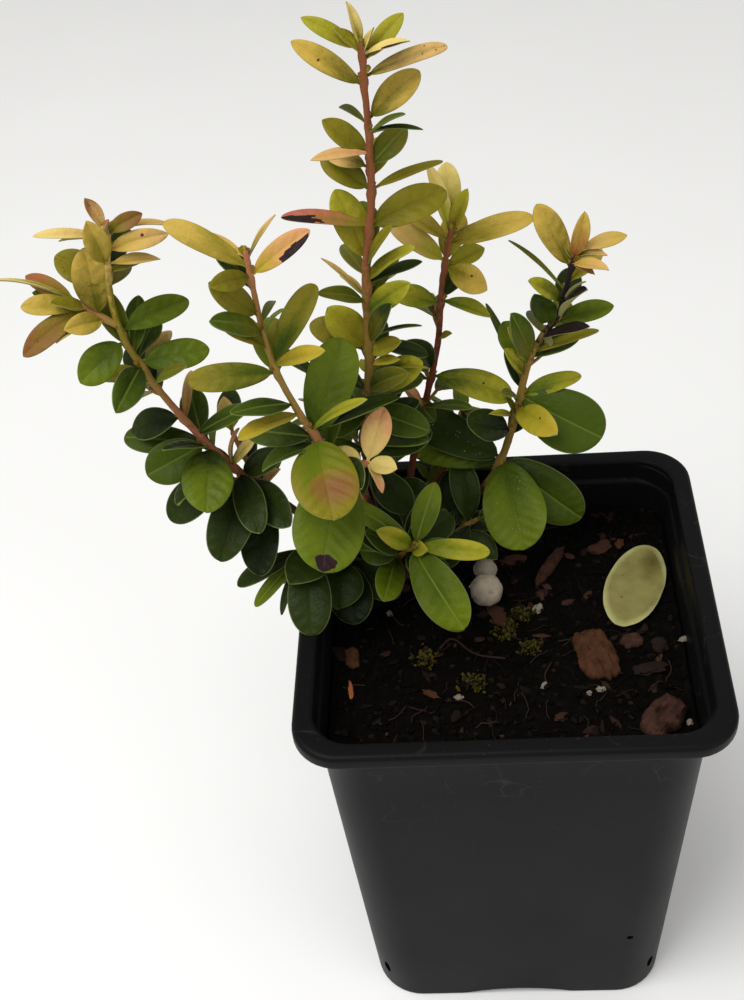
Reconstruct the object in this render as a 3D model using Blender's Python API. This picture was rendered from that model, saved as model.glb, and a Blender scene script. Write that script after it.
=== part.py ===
"""Potted red pearl lingonberry: a young evergreen shrub in a square black nursery pot.

Origin at the middle of the pot's underside, +Z up, the pot's front towards -Y. Metres.
The tables give millimetres, which MM turns into metres. Each shoot has one route, from the trunk's
flank to its tip: its lower part is a bare bough, and its upper part is the stem of one mass of leaves.
"""

import math
import random

import bmesh
import bpy
from mathutils import Matrix, Vector
from mathutils.bvhtree import BVHTree

MM = 0.001
SEED = 7
GAP = 0.3

# Pot: a drawn square tub with a turned-down lip, four feet left by arched sides, and drain holes.
POT_HEIGHT = 110.0
RIM_HALF = 45.0
RIM_CORNER = 10.0
LIP_HEIGHT = 3.3
LIP_THICK = 1.1
LIP_FOLD = 1.3
BODY_TOP_HALF = 41.0
BODY_TOP_CORNER = 10.4
BODY_FOOT_HALF = 35.6
BODY_FOOT_CORNER = 11.5
WALL = 1.1
FLOOR = 3.0
LEDGE_DEPTH = 6.0
ARCH_WIDTH = 30.0
ARCH_RISE = 2.6
ARCH_INWARD = 12.0
SLOT_RADIUS = 1.0
SLOT_HEIGHT = 9.0
VENT_RADIUS = 0.8
VENT_HEIGHT = 27.4
VENT_FROM_MIDDLE = 26.6
CORNER_STEPS = 5

# Soil: fills the pot and is flat wherever something stands on it.
SOIL_TOP = 97.0
SOIL_ROUGHNESS = 0.4
SOIL_DIP = 0.3
SOIL_EDGE_DROP = 1.0
SOIL_RINGS = 7
SOIL_CLEAR = 0.25
SOIL_CORNER = 7.8
SOIL_SIDE_STEPS = 6

# Trunk and shoots.
TRUNK_FOOT = Vector((-24.3, 19.0, SOIL_TOP + GAP))
TRUNK_ROUTE = ((-25, 19, 106), (-26, 18, 117), (-27.5, 17.5, 127))
TRUNK_RADIUS = 2.2
TRUNK_TOP_RADIUS = 1.4
FLARE_RADIUS = 3.4
FLARE_HEIGHT = 5.0
STEM_STEP = 4.0

# The leaves' directions are read from this point: 0 degrees is right, 90 is up, and "toward" tips a
# leaf out of that plane, towards the point.
VIEW_POINT = Vector((-5.6, -219.7, 338.8))
VIEW_RIGHT = Vector((0.9965, 0.0234, -0.0804))

# A leaf is an obovate blade on a short stalk: share of the length, and share of the width there.
LEAF_STATIONS = ((0.0, 0.15), (0.36, 0.78), (0.66, 1.0), (0.88, 0.68))
LEAF_THICK = 0.55
LEAF_ARCH = 0.10
LEAF_CLEAR = 0.45
ROOT_DEPTH = 0.2
TIP_PLACE = 0.985
LOWEST_PLACE = 0.01
NODE_STAGGER = 0.007
NUDGES = tuple((turn, tip, scale) for scale in (1.0, 0.9, 0.78) for tip in (0, 9, -9, 18, -18, 28, -28)
               for turn in (0, 5, -5))

# A leaf that looks short for its place is a full one tipped toward or away from the view.
YOUNG_FROM = 0.95
SHORT_SHARE = 0.72
MOST_TIP = 56.0
POINTS_UP = 0.6
WIDEST = 0.5
EDGE_ON = 0.7

# The dense foliage round the shoots' feet, as the view point sees it, from the trunk's foot.
DENSE_LEFT = -32.0
DENSE_RIGHT = 20.0
DENSE_TOP = 31.0
TURNED_AWAY = -0.62

# Leaves that the spiral rule adds: turn from one to the next, where the first one stands, how steeply they
# rise, and their size and shape against the stem's usual leaf.
GOLDEN_ANGLE = 137.5
SPIRAL_FOOT = 0.06
SPIRAL_RISE = (22, 48)
SPIRAL_SCALE = 0.85
SPIRAL_VARY = 1.5
SPIRAL_WIDTH = 0.48

# How high a blade keeps over the pot's rim, and over the soil inside that reach.
RIM_REACH = 8.0
OVER_RIM = 2.0
OVER_SOIL = 3.0

# Each row is one leaf as the view point sees it: place along the stem (0 to 1), direction, toward,
# length, width, and how far the blade's face is turned to the view (0 to 1).
LEADER_LEAVES = (
    (1.00, 105, 20, 9, 2.5, 0.4), (1.00, 125, 35, 7, 2.5, 0.5), (1.00, 75, 25, 6, 1.5, 0.4),
    (1.00, 50, 5, 11, 4, 0.7), (0.99, 150, 10, 12, 3.5, 0.7), (1.00, 20, 5, 9, 2, 0.4),
    (0.95, 25, 0, 16, 3.5, 0.6), (0.95, 155, -15, 13, 2.5, 0.4), (0.92, 150, 15, 15, 4.5, 0.8),
    (0.86, 45, 5, 13, 5.5, 0.7), (0.86, 140, -10, 8, 1.5, 0.3), (0.85, 35, 0, 7, 1.5, 0.3),
    (0.83, 20, -20, 8, 1, 0.3), (0.77, 50, 15, 10, 5, 0.8), (0.80, 145, 20, 11, 4.5, 0.8),
    (0.78, 160, -10, 10, 3.5, 0.5), (0.79, 180, 25, 12, 2, 0.4), (0.72, 145, 5, 12, 5, 0.8),
    (0.73, 25, -10, 15, 2, 0.4), (0.66, 30, 10, 16, 6.5, 0.8), (0.57, 110, 20, 15, 6.5, 0.8),
    (0.65, 170, 0, 17, 3, 0.5), (0.55, 125, -15, 10, 3, 0.6), (0.51, 130, -20, 9, 1.5, 0.4),
    (0.49, 135, 10, 12, 1, 0.2), (0.56, 70, 0, 9, 2.5, 0.5), (0.54, 45, 10, 10, 3, 0.5),
    (0.53, 40, -10, 9, 2.5, 0.5), (0.52, 25, 10, 12, 2, 0.3), (0.50, 15, -15, 11, 3, 0.5),
    (0.47, 40, 20, 10, 4.5, 0.8), (0.41, 65, 0, 9, 4, 0.6), (0.48, 160, 10, 8, 3, 0.5),
    (0.38, 135, 20, 12, 7, 0.9), (0.39, 155, 5, 13, 6, 0.8), (0.42, 20, 10, 8, 1, 0.2),
    (0.36, 25, 15, 6.5, 3.5, 0.7), (0.34, 20, 30, 6.5, 2, 0.5), (0.40, -10, -10, 13, 3, 0.4),
    (0.33, 20, 10, 11, 1, 0.2), (0.27, 35, 15, 9, 4.5, 0.7), (0.17, 35, 20, 13, 4, 0.5),
    (0.28, 40, 30, 11, 6, 0.8), (0.25, 205, 30, 12, 6.5, 0.8), (0.22, -20, 20, 14, 7, 0.8),
    (0.17, 150, 20, 14, 7, 0.7), (0.12, 20, 25, 15, 7.5, 0.8), (0.09, 235, 30, 14, 7.5, 0.8),
    (0.05, -50, 25, 14, 7.5, 0.8),
)
LEFT_LEAVES = (
    (1.00, 115, 0, 7, 3, 0.5), (1.00, 30, 10, 8, 4, 0.8), (0.98, 55, 0, 4.5, 2.5, 0.6),
    (0.97, 95, 10, 6, 2.5, 0.5), (0.99, 15, -10, 13, 2, 0.3), (0.94, 25, 10, 12, 4.5, 0.8),
    (0.91, 10, 15, 10, 2.5, 0.5), (0.99, 175, -10, 9, 1.5, 0.3), (0.97, 175, 5, 13, 2.5, 0.5),
    (0.90, 110, 20, 8, 5.5, 0.9), (0.85, 150, -10, 12, 7, 0.8), (0.89, 30, -5, 9, 2.5, 0.5),
    (0.83, 60, -10, 7, 4, 0.6), (0.65, 115, 10, 13, 4.5, 0.6), (0.63, 85, 0, 12, 4, 0.6),
    (0.72, 30, -5, 15, 5, 0.7), (0.60, 70, -20, 11, 4.5, 0.6), (0.57, 60, -30, 12, 3, 0.5),
    (0.60, 15, 10, 14, 6, 0.8), (0.69, -140, 15, 12, 7, 0.8), (0.58, -120, 25, 9, 6, 1.0),
    (0.52, 40, 5, 8, 2, 0.4), (0.49, 105, -5, 7, 2.5, 0.5), (0.30, 105, -15, 12, 6, 0.7),
    (0.36, 85, -5, 9, 2, 0.4), (0.31, 30, 5, 11, 3.5, 0.5), (0.39, -170, -25, 13, 6, 0.6),
    (0.28, 175, 0, 18, 6, 0.8), (0.24, 175, -15, 10, 3, 0.4), (0.27, -150, -5, 14, 9, 0.9),
    (0.26, -95, 40, 15, 10.5, 1.0), (0.16, -145, -15, 19, 7.5, 0.7), (0.09, -105, 20, 19, 9.5, 0.9),
    (0.02, -95, 5, 19, 8, 0.8), (0.05, 70, -15, 12, 6, 0.6), (0.17, 55, 10, 7, 2.5, 0.5),
    (0.15, 95, 5, 7, 1.5, 0.3), (0.03, 45, 10, 5, 2, 0.4), (0.01, 75, 0, 7, 3, 0.4),
    (0.13, -75, 30, 12, 6.5, 0.9), (0.07, -50, 30, 13, 7, 0.9), (0.11, 30, 25, 9, 5, 0.8),
)
LEFT_TIP_LEAVES = (
    (0.45, 100, 40, 15, 7, 1.0), (1.00, 155, 0, 16, 1.5, 0.2), (1.00, 150, -15, 12, 3, 0.5),
    (1.00, 160, -25, 10, 2.5, 0.5), (0.78, 170, 10, 12, 4, 0.7), (0.70, 170, 20, 8, 3, 0.6),
    (0.75, -155, 15, 15, 4.5, 0.7), (0.50, -150, 20, 10, 2.5, 0.5), (0.30, -165, 30, 9, 4, 0.8),
)
LOW_LEFT_LEAVES = (
    (1.00, 95, -20, 11, 5, 0.5), (1.00, 105, 10, 8, 4, 0.6), (0.35, 100, -10, 9, 4.5, 0.4),
)
MID_LEFT_LEAVES = (
    (0.94, 150, 10, 17, 5, 0.7), (1.00, 155, -10, 12, 3.5, 0.5), (1.00, 60, -10, 10, 1, 0.1),
    (0.93, 40, 20, 14, 5, 0.8), (0.91, -165, 20, 7, 4.5, 0.8), (0.77, 140, 20, 9, 5, 0.8),
    (0.71, 155, 5, 8, 4, 0.6), (0.66, 145, -10, 9, 4, 0.6), (0.73, 65, -10, 7.5, 1.5, 0.3),
    (0.71, 60, 0, 5.5, 1.5, 0.3), (0.59, 65, 5, 17, 5, 0.7), (0.56, -175, 10, 17, 5.5, 0.9),
    (0.57, 20, 30, 9, 3, 0.5), (0.24, 75, 15, 20, 10, 1.0), (0.41, -175, -25, 12, 4, 0.5),
    (0.37, -165, 15, 12, 3, 0.4), (0.23, 175, -10, 15, 5.5, 0.7), (0.27, 40, 0, 10, 2, 0.3),
    (0.24, -80, 40, 19, 13, 1.0), (0.07, -100, 25, 23, 14.5, 1.0), (0.26, 25, -10, 20, 3.5, 0.4),
)
DRY_LEAVES = (
    (1.00, 75, 10, 12, 6, 1.0), (0.85, 150, 10, 7, 3.5, 0.7), (1.00, -10, 20, 6.5, 4.5, 0.7),
    (1.00, -55, 20, 7, 2, 0.5), (0.80, -135, 30, 4, 2, 0.5),
)
FRONT_LEAVES = (
    (1.00, 75, 15, 14, 7, 1.0), (1.00, -5, 15, 16, 5.5, 0.9), (0.90, 155, 25, 8, 5, 0.9),
    (1.00, 140, 5, 18, 5, 0.6), (0.85, -60, 20, 21, 11, 1.0), (0.10, -110, 30, 10, 6.5, 1.0),
    (0.88, -10, 40, 3.5, 4, 0.9), (0.50, 180, -5, 10, 6.5, 0.7), (0.20, 110, 10, 15, 7.5, 0.8),
    (0.35, 75, -15, 15, 7.5, 0.7), (0.12, 150, 15, 14, 7, 0.7), (0.55, 40, -20, 15, 7, 0.7),
)
LOW_FRONT_LEAVES = (
    (1.00, -155, 10, 17, 5, 0.6), (1.00, -135, 5, 17, 4, 0.7), (1.00, -120, -5, 16, 2.5, 0.5),
    (1.00, -90, 25, 19, 12, 1.0), (0.45, -95, 30, 12, 11, 1.0), (0.35, -85, 20, 15, 10, 0.9),
    (0.80, -140, 15, 9, 9, 0.9), (0.30, -40, 15, 14, 7.5, 0.8), (0.90, 215, -25, 12, 6, 0.5),
)
CENTRE_RIGHT_LEAVES = (
    (0.99, 95, -5, 14, 6, 0.7), (0.97, 105, 10, 15, 3.5, 0.4), (0.98, 70, 20, 10, 3.5, 0.6),
    (1.00, 20, -10, 12, 1.5, 0.2), (0.92, 20, 10, 18, 5.5, 0.7), (0.94, 145, -5, 12, 4, 0.5),
    (0.84, 145, 15, 14, 5, 0.7), (0.81, 30, -10, 10, 4, 0.6), (0.80, -25, 15, 10, 6, 0.8),
    (0.63, -10, 10, 11, 3, 0.4), (0.62, 165, 10, 11, 4.5, 0.6), (0.54, 110, -10, 7, 3, 0.5),
    (0.43, 25, 20, 3, 1.5, 0.5), (0.28, 125, 10, 7, 5, 0.7), (0.25, -10, 10, 18, 6, 0.6),
    (0.09, 5, 5, 9, 2.5, 0.4), (0.06, 120, 10, 6, 2, 0.4), (0.22, 160, -20, 9, 4, 0.3),
)
RIGHT_LEAVES = (
    (0.97, 20, 5, 10, 3.5, 0.6), (0.94, 75, 0, 8, 4, 0.7), (0.96, 15, 15, 6.5, 2, 0.3),
    (0.94, -5, 25, 7, 3, 0.5), (0.92, -20, 30, 4, 2, 0.5), (0.98, 100, 10, 3.5, 1.5, 0.4),
    (0.96, 120, -10, 10, 1, 0.1), (0.95, 120, 10, 3.5, 1.5, 0.3), (0.90, 125, 10, 15, 6, 0.7),
    (0.82, 135, -5, 16, 1, 0.1), (0.79, 150, 10, 7, 3.5, 0.6), (0.69, 110, 25, 6.5, 5, 0.9),
    (0.78, 50, 10, 6, 0.5, 0.1), (0.71, 60, 0, 8, 3, 0.4), (0.69, 20, 5, 13, 4, 0.6),
    (0.64, 120, -10, 7.5, 2.5, 0.5), (0.60, 20, 15, 10, 2.5, 0.5), (0.54, 20, 0, 15, 2, 0.4),
    (0.50, 125, -10, 11, 6.5, 0.8), (0.53, 110, 10, 8, 5, 0.7), (0.48, 115, 25, 7.5, 3, 0.6),
    (0.44, 125, 10, 6.5, 3, 0.6), (0.41, 115, -10, 20, 1.5, 0.1), (0.36, 20, 5, 14, 4, 0.6),
    (0.34, -30, 10, 20, 13.5, 1.0), (0.29, -35, 35, 10, 6, 0.9), (0.26, 170, 30, 5.5, 1.5, 0.4),
    (0.20, 170, 10, 9, 7, 0.9), (0.25, 115, 15, 5, 2, 0.5), (0.32, 130, 0, 8, 2, 0.3),
    (0.05, -75, 20, 22, 14, 1.0), (0.06, -40, 0, 23, 11.5, 1.0), (0.04, 160, 10, 23, 9, 0.8),
    (0.01, 165, -15, 22, 7, 0.7),
)
STUB_LEAVES = (
    (1.00, 70, 25, 6.4, 3.2, 0.5), (0.70, -45, 10, 8.0, 4.6, 0.6),
)
LOW_RIGHT_LEAVES = (
    (1.00, 25, 10, 14.5, 7.6, 0.7), (0.95, 235, 5, 13.0, 7.0, 0.8), (0.90, 95, 10, 15.0, 8.0, 0.8),
    (0.60, 330, 15, 12.0, 6.4, 0.6), (0.15, 116, -4, 17.0, 8.4, 0.8), (0.45, 84, -10, 16.0, 8.0, 0.8),
)
BACK_LEAVES = ()

# Each shoot: height at which it leaves the trunk, bare share, radii, rows of leaves, how many more the
# spiral rule tries to add where the view does not reach, its leaves' usual length at foot and tip, route.
SHOOTS = {
    "left": dict(
        height=104.0, bare=0.345, radii=(1.05, 0.5), leaves=LEFT_LEAVES, spiral=26, size=(18, 10.5),
        route=((-31, 16, 106), (-46, 10, 128), (-60, 6, 150), (-70, 4.5, 173), (-72.5, 4.5, 187),
               (-71, 6.5, 203))),
    "mid_left": dict(
        height=109.0, bare=0.42, radii=(1.05, 0.45), leaves=MID_LEFT_LEAVES, spiral=18, size=(18, 13),
        route=((-28, 10.5, 120), (-32, 0, 147), (-37, -2.5, 159), (-43, -2, 178), (-45, 1, 199.5))),
    "centre_right": dict(
        height=106.0, bare=0.39, radii=(0.95, 0.5), leaves=CENTRE_RIGHT_LEAVES, spiral=18, size=(16, 12),
        route=((-19, 26.5, 127), (-12.5, 30, 153.5), (-10.5, 30.5, 170), (-8, 29.5, 184))),
    "right": dict(
        height=101.5, bare=0.33, radii=(1.1, 0.5), leaves=RIGHT_LEAVES, spiral=22, size=(18, 11),
        route=((-19, 21.5, 104.5), (-8, 25.5, 112), (0.5, 27.5, 123), (8, 26.5, 155), (13, 26, 163),
               (16, 26, 177), (18, 26.5, 181))),
    "front": dict(
        height=102.0, bare=0.5, radii=(0.8, 0.5), leaves=FRONT_LEAVES, spiral=9, size=(15, 12),
        route=((-25.4, 12.0, 107.0), (-22.8, 5.0, 117.0), (-18.6, -0.5, 125.0))),
    "low_front": dict(
        height=101.0, bare=0.35, radii=(0.8, 0.5), leaves=LOW_FRONT_LEAVES, spiral=10, size=(15, 12),
        route=((-31.0, 12.5, 108.0), (-38.0, 6.0, 116.0), (-43.0, 4.5, 120.5))),
    "low_right": dict(
        height=103.0, bare=0.3, radii=(0.8, 0.5), leaves=LOW_RIGHT_LEAVES, spiral=12, size=(15, 12),
        route=((-17.0, 18.5, 106.5), (-11.0, 18.0, 110.5), (-6.0, 18.5, 113.5))),
    "back_left": dict(
        height=105.0, bare=0.3, radii=(0.9, 0.5), leaves=BACK_LEAVES, spiral=26, size=(17, 10),
        route=((-30.5, 25.0, 117.0), (-37.0, 32.0, 133.0), (-39.5, 35.0, 148.0))),
    "back_middle": dict(
        height=107.0, bare=0.3, radii=(0.9, 0.5), leaves=BACK_LEAVES, spiral=24, size=(17, 10),
        route=((-24.5, 27.0, 118.0), (-25.0, 36.0, 130.0), (-25.5, 40.0, 141.0))),
    "back_right": dict(
        height=103.0, bare=0.3, radii=(0.9, 0.5), leaves=BACK_LEAVES, spiral=24, size=(17, 10),
        route=((-18.0, 27.0, 110.0), (-11.0, 36.0, 120.0), (-7.0, 40.0, 130.0))),
}
LEADER = dict(
    radii=(1.3, 0.5), leaves=LEADER_LEAVES, spiral=28, size=(17, 11.5),
    route=((-28.5, 16, 140), (-26, 16, 160), (-25, 17, 182), (-22.5, 19, 200), (-22, 19, 229)))

# A side twig: its shoot, place, direction, toward, length and leaves.
TWIGS = (
    ("left", 0.72, 150, 0, 9.0, LEFT_TIP_LEAVES),
    ("left", 0.02, 118, 25, 14.5, LOW_LEFT_LEAVES),
    ("mid_left", 0.03, 8, 15, 5.5, DRY_LEAVES),
    ("centre_right", 0.04, 128, 10, 6.5, STUB_LEAVES),
)
TWIG_RADII = (0.75, 0.5)
TWIG_SAG = 0.06

# The masses in the order in which they take their room, those nearest to the view first.
ORDER = ("mid_left", "front", "low_front", "leader", "left", "centre_right", "right", "low_right",
         "back_left", "back_middle", "back_right")

# What lies on the soil: middle, then sizes.
BEADS = ((-4, 8.5, 3.7), (-4, 16, 2.8))
FALLEN_LEAF = dict(middle=(30, 11), length=26.5, width=13, turn=70, thick=0.6)
CHIPS = (
    (19.5, -9.5, 15, 8.5, 2.2, 105), (32, -27.5, 12.5, 7.5, 2.6, 50), (11, 18.5, 14.5, 3, 1.8, 60),
    (27.5, -5.5, 5, 4, 1.3, 20), (33.5, -7, 4.5, 3.5, 1.2, 100), (-34.5, -7.5, 6, 3.5, 1.4, 100),
)


def clear_scene():
    for item in list(bpy.data.objects):
        bpy.data.objects.remove(item, do_unlink=True)


def new_collection(name):
    made = bpy.data.collections.new(name)
    bpy.context.scene.collection.children.link(made)
    return made


def material(name, colour, roughness):
    made = bpy.data.materials.new(name)
    made.use_nodes = True
    shader = made.node_tree.nodes["Principled BSDF"]
    shader.inputs["Base Color"].default_value = (*colour, 1.0)
    shader.inputs["Roughness"].default_value = roughness
    return made


def mesh_object(name, vertices, faces, collection, finish=None):
    """An object in metres from vertices in millimetres, with its faces turned outwards."""
    mesh = bpy.data.meshes.new(name)
    mesh.from_pydata([Vector(v) * MM for v in vertices], [], faces)
    shell = bmesh.new()
    shell.from_mesh(mesh)
    bmesh.ops.recalc_face_normals(shell, faces=shell.faces)
    shell.to_mesh(mesh)
    shell.free()
    if finish:
        mesh.materials.append(finish)
    made = bpy.data.objects.new(name, mesh)
    collection.objects.link(made)
    return made


def lofted(rings):
    """Vertices and faces of a closed skin through rings of equal count; a ring of one point is an end."""
    vertices = [Vector(p) for ring in rings for p in ring]
    starts = [sum(len(r) for r in rings[:i]) for i in range(len(rings))]
    faces = []
    for ring, after, a, b in zip(rings, rings[1:], starts, starts[1:]):
        count = max(len(ring), len(after))
        for i in range(count):
            j = (i + 1) % count
            if len(after) == 1:
                faces.append((a + i, a + j, b))
            elif len(ring) == 1:
                faces.append((a, b + j, b + i))
            else:
                faces.append((a + i, a + j, b + j, b + i))
    if len(rings[0]) > 1:
        faces.append(tuple(reversed(range(len(rings[0])))))
    if len(rings[-1]) > 1:
        faces.append(tuple(range(starts[-1], starts[-1] + len(rings[-1]))))
    return vertices, faces


def rounded_square(half, corner, z, side_steps=1):
    """The points of a level square with rounded corners, anticlockwise from above."""
    points = []
    for quarter in range(4):
        turn = quarter * math.pi / 2
        middle = Matrix.Rotation(turn, 2) @ Vector((half - corner, half - corner))
        for step in range(CORNER_STEPS + 1):
            angle = turn + math.pi / 2 * step / CORNER_STEPS
            points.append((middle.x + corner * math.cos(angle), middle.y + corner * math.sin(angle), z))
        along = Matrix.Rotation(turn, 2) @ Vector((-2 * (half - corner) / side_steps, 0))
        x, y, _ = points[-1]
        points += [(x + along.x * step, y + along.y * step, z) for step in range(1, side_steps)]
    return points


def smooth_route(points, step=STEM_STEP):
    """Points about one step apart on a Catmull-Rom curve through the given points."""
    points = [Vector(p) for p in points]
    padded = [2 * points[0] - points[1], *points, 2 * points[-1] - points[-2]]
    found = [points[0]]
    for a, b, c, d in zip(padded, padded[1:], padded[2:], padded[3:]):
        count = max(1, round((c - b).length / step))
        for i in range(1, count + 1):
            t = i / count
            found.append(0.5 * (2 * b + (c - a) * t + (2 * a - 5 * b + 4 * c - d) * t * t
                                + (3 * b - a - 3 * c + d) * t ** 3))
    return found


def lengths_along(points):
    found = [0.0]
    for a, b in zip(points, points[1:]):
        found.append(found[-1] + (b - a).length)
    return found


def at_share(points, share):
    """The point and direction at a share of a path's length."""
    marks = lengths_along(points)
    target = share * marks[-1]
    i = min(max(k for k, mark in enumerate(marks) if mark <= target + 1e-9), len(points) - 2)
    along = (target - marks[i]) / (marks[i + 1] - marks[i])
    return points[i].lerp(points[i + 1], along), (points[i + 1] - points[i]).normalized()


def part_of(points, start, end):
    """The stretch of a path between two shares of its length."""
    marks = lengths_along(points)
    inner = [p for p, mark in zip(points, marks) if start + 0.02 < mark / marks[-1] < end - 0.02]
    return [at_share(points, start)[0], *inner, at_share(points, end)[0]]


def tube(name, points, radii, collection, finish=None, sides=6):
    """A closed tapering tube along points, made as a bevelled curve and turned into a mesh."""
    curve = bpy.data.curves.new(name, "CURVE")
    curve.dimensions = "3D"
    curve.bevel_depth = MM
    curve.bevel_resolution = (sides - 4) // 2
    curve.use_fill_caps = True
    spline = curve.splines.new("POLY")
    spline.points.add(len(points) - 1)
    for slot, point, radius in zip(spline.points, points, radii):
        slot.co = (*(point * MM), 1.0)
        slot.radius = radius
    guide = bpy.data.objects.new(name + "_guide", curve)
    collection.objects.link(guide)
    bpy.context.view_layer.update()
    mesh = bpy.data.meshes.new_from_object(guide.evaluated_get(bpy.context.evaluated_depsgraph_get()))
    bpy.data.objects.remove(guide, do_unlink=True)
    shell = bmesh.new()
    shell.from_mesh(mesh)
    bmesh.ops.remove_doubles(shell, verts=shell.verts, dist=0.01 * MM)
    bmesh.ops.recalc_face_normals(shell, faces=shell.faces)
    shell.to_mesh(mesh)
    shell.free()
    mesh.materials.clear()
    if finish:
        mesh.materials.append(finish)
    made = bpy.data.objects.new(name, mesh)
    collection.objects.link(made)
    return made


def tapered(points, first, last):
    marks = lengths_along(points)
    return [first + (last - first) * mark / marks[-1] for mark in marks]


def surface_tree(item):
    """A search tree of an object's faces, in millimetres."""
    points = [v.co / MM for v in item.data.vertices]
    return BVHTree.FromPolygons(points, [tuple(p.vertices) for p in item.data.polygons])


def view_frame(point):
    """Right, up and toward the view point, as seen from there at the given point."""
    toward = (VIEW_POINT - point).normalized()
    right = (VIEW_RIGHT - VIEW_RIGHT.dot(toward) * toward).normalized()
    return right, toward.cross(right), toward


def seen_direction(point, clock, toward_angle):
    right, up, toward = view_frame(point)
    clock, tip = math.radians(clock), math.radians(toward_angle)
    flat = math.cos(clock) * right + math.sin(clock) * up
    return (math.cos(tip) * flat + math.sin(tip) * toward).normalized()


def real_leaf(place, clock, toward, length, width, face, usual):
    """Direction, tip, length, width and face of the leaf that a row shows as it is seen."""
    seen = length * math.cos(math.radians(toward))
    if usual and place < YOUNG_FROM:
        full = usual[0] + (usual[1] - usual[0]) * place
        if seen < SHORT_SHARE * full:
            tip = min(math.degrees(math.acos(seen / full)), MOST_TIP)
            points_up = math.sin(math.radians(clock)) > POINTS_UP
            toward = -tip if points_up and toward < 0 else tip
            length = seen / math.cos(math.radians(tip))
    turned = EDGE_ON + (1 - EDGE_ON) * face
    return clock, toward, length, max(width, min(width / turned, WIDEST * length)), face


class Leaf:
    """One blade: where it is rooted, where it points, its size, and the way its upper face looks."""

    def __init__(self, root, along, stem, length, width, face=0.0):
        self.root = root - along * ROOT_DEPTH
        self.along = along
        self.length = length
        self.width = width
        upper = (stem - stem.dot(along) * along).normalized()
        toward = view_frame(root)[2]
        facing = (toward - toward.dot(along) * along).normalized()
        self.upper = upper.lerp(facing, face).normalized()

    def skin(self, start=0.0, spare=0.0):
        """Vertices and faces from a share of the length to the tip, widened by spare all round."""
        side = self.along.cross(self.upper)
        rings = []
        for place, share in LEAF_STATIONS:
            if place < start:
                continue
            rise = LEAF_ARCH * self.length * (place - 1.6 * place * place)
            middle = self.root + self.along * place * self.length + self.upper * rise
            half = 0.5 * self.width * share + spare
            top = middle + self.upper * spare
            keel = middle - self.upper * (LEAF_THICK + spare)
            rings.append((top + side * half, top - side * half, keel))
        drop = -0.6 * LEAF_ARCH * self.length
        rings.append((self.root + self.along * (self.length + spare) + self.upper * drop,))
        return lofted(rings)

    def tree(self, start=0.0, spare=LEAF_CLEAR):
        return BVHTree.FromPolygons(*self.skin(start, spare))


class Crown:
    """Keeps every stem and blade set so far, so that a new leaf can be tested against them."""

    def __init__(self):
        self.limbs = []
        self.blades = []

    def is_free(self, leaf, mass):
        whole = leaf.tree(0.0)
        outer = leaf.tree(0.3)
        for owner, tree in self.limbs:
            if owner != mass and whole.overlap(tree):
                return False
        for owner, full, tip in self.blades:
            if owner != mass and whole.overlap(full):
                return False
            if owner == mass and outer.overlap(tip):
                return False
        return True

    def settle(self, mass, root, stem, shape):
        """A leaf of this shape, tipped or shrunk a little where it would touch another, or None."""
        clock, toward, length, width, face = shape
        for turn, tip, scale in NUDGES:
            along = seen_direction(root, clock + turn, toward + tip)
            leaf = Leaf(root, along, stem, length * scale, width * scale, face)
            if self.is_free(leaf, mass):
                self.blades.append((mass, leaf.tree(0.0, 0.0), leaf.tree(0.3, 0.0)))
                return leaf
        return None

    def add_spiral(self, mass, stem, count, sizes, chance):
        """Leaves set round a stem by the golden angle, on the side turned away from the view."""
        found = []
        turn = chance.uniform(0, math.tau)
        for k in range(count):
            turn += math.radians(GOLDEN_ANGLE)
            share = SPIRAL_FOOT + (1 - 2 * SPIRAL_FOOT) * (k + 0.5) / count
            root, axis = at_share(stem, share)
            flat = axis.orthogonal().normalized()
            flat.rotate(Matrix.Rotation(turn, 3, axis))
            rise = math.radians(chance.uniform(*SPIRAL_RISE))
            along = (math.cos(rise) * flat + math.sin(rise) * axis).normalized()
            usual = sizes[0] + (sizes[1] - sizes[0]) * share
            length = SPIRAL_SCALE * usual + chance.uniform(-SPIRAL_VARY, SPIRAL_VARY)
            leaf = Leaf(root, along, axis, length, SPIRAL_WIDTH * length)
            if stays_clear(leaf) and self.is_free(leaf, mass) and self.fits_behind(leaf):
                self.blades.append((mass, leaf.tree(0.0, 0.0), leaf.tree(0.3, 0.0)))
                found.append(leaf)
        return found

    def fits_behind(self, leaf):
        """True for a blade behind others as the view point sees it, or low among the shoots' feet."""
        in_front = 0
        seen = 0
        for share in (0.35, 0.6, 0.8, 1.0):
            point = leaf.root + leaf.along * leaf.length * share
            ray = VIEW_POINT - point
            covered = self.is_hit(point, ray)
            seen += not covered
            in_front += not covered and self.is_hit(point, -ray)
        turned_away = leaf.along.dot(view_frame(leaf.root)[2]) < TURNED_AWAY
        return in_front < 2 and (seen < 2 or turned_away or is_low(leaf))

    def is_hit(self, point, ray):
        return any(full.ray_cast(point, ray.normalized(), ray.length)[0] for _, full, _ in self.blades)


def is_low(leaf):
    """True where the whole blade is seen within the dense foliage round the shoots' feet."""
    right, up, _ = view_frame(TRUNK_FOOT)
    for share in (0.5, 1.0):
        offset = leaf.root + leaf.along * leaf.length * share - TRUNK_FOOT
        if not (DENSE_LEFT < offset.dot(right) < DENSE_RIGHT and offset.dot(up) < DENSE_TOP):
            return False
    return True


def stays_clear(leaf):
    """True where a blade keeps above the soil and the pot's rim."""
    for share in (0.5, 1.0):
        point = leaf.root + leaf.along * leaf.length * share
        near_rim = max(abs(point.x), abs(point.y)) > BODY_TOP_HALF - RIM_REACH
        if point.z < (POT_HEIGHT + OVER_RIM if near_rim else SOIL_TOP + OVER_SOIL):
            return False
    return True


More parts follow.
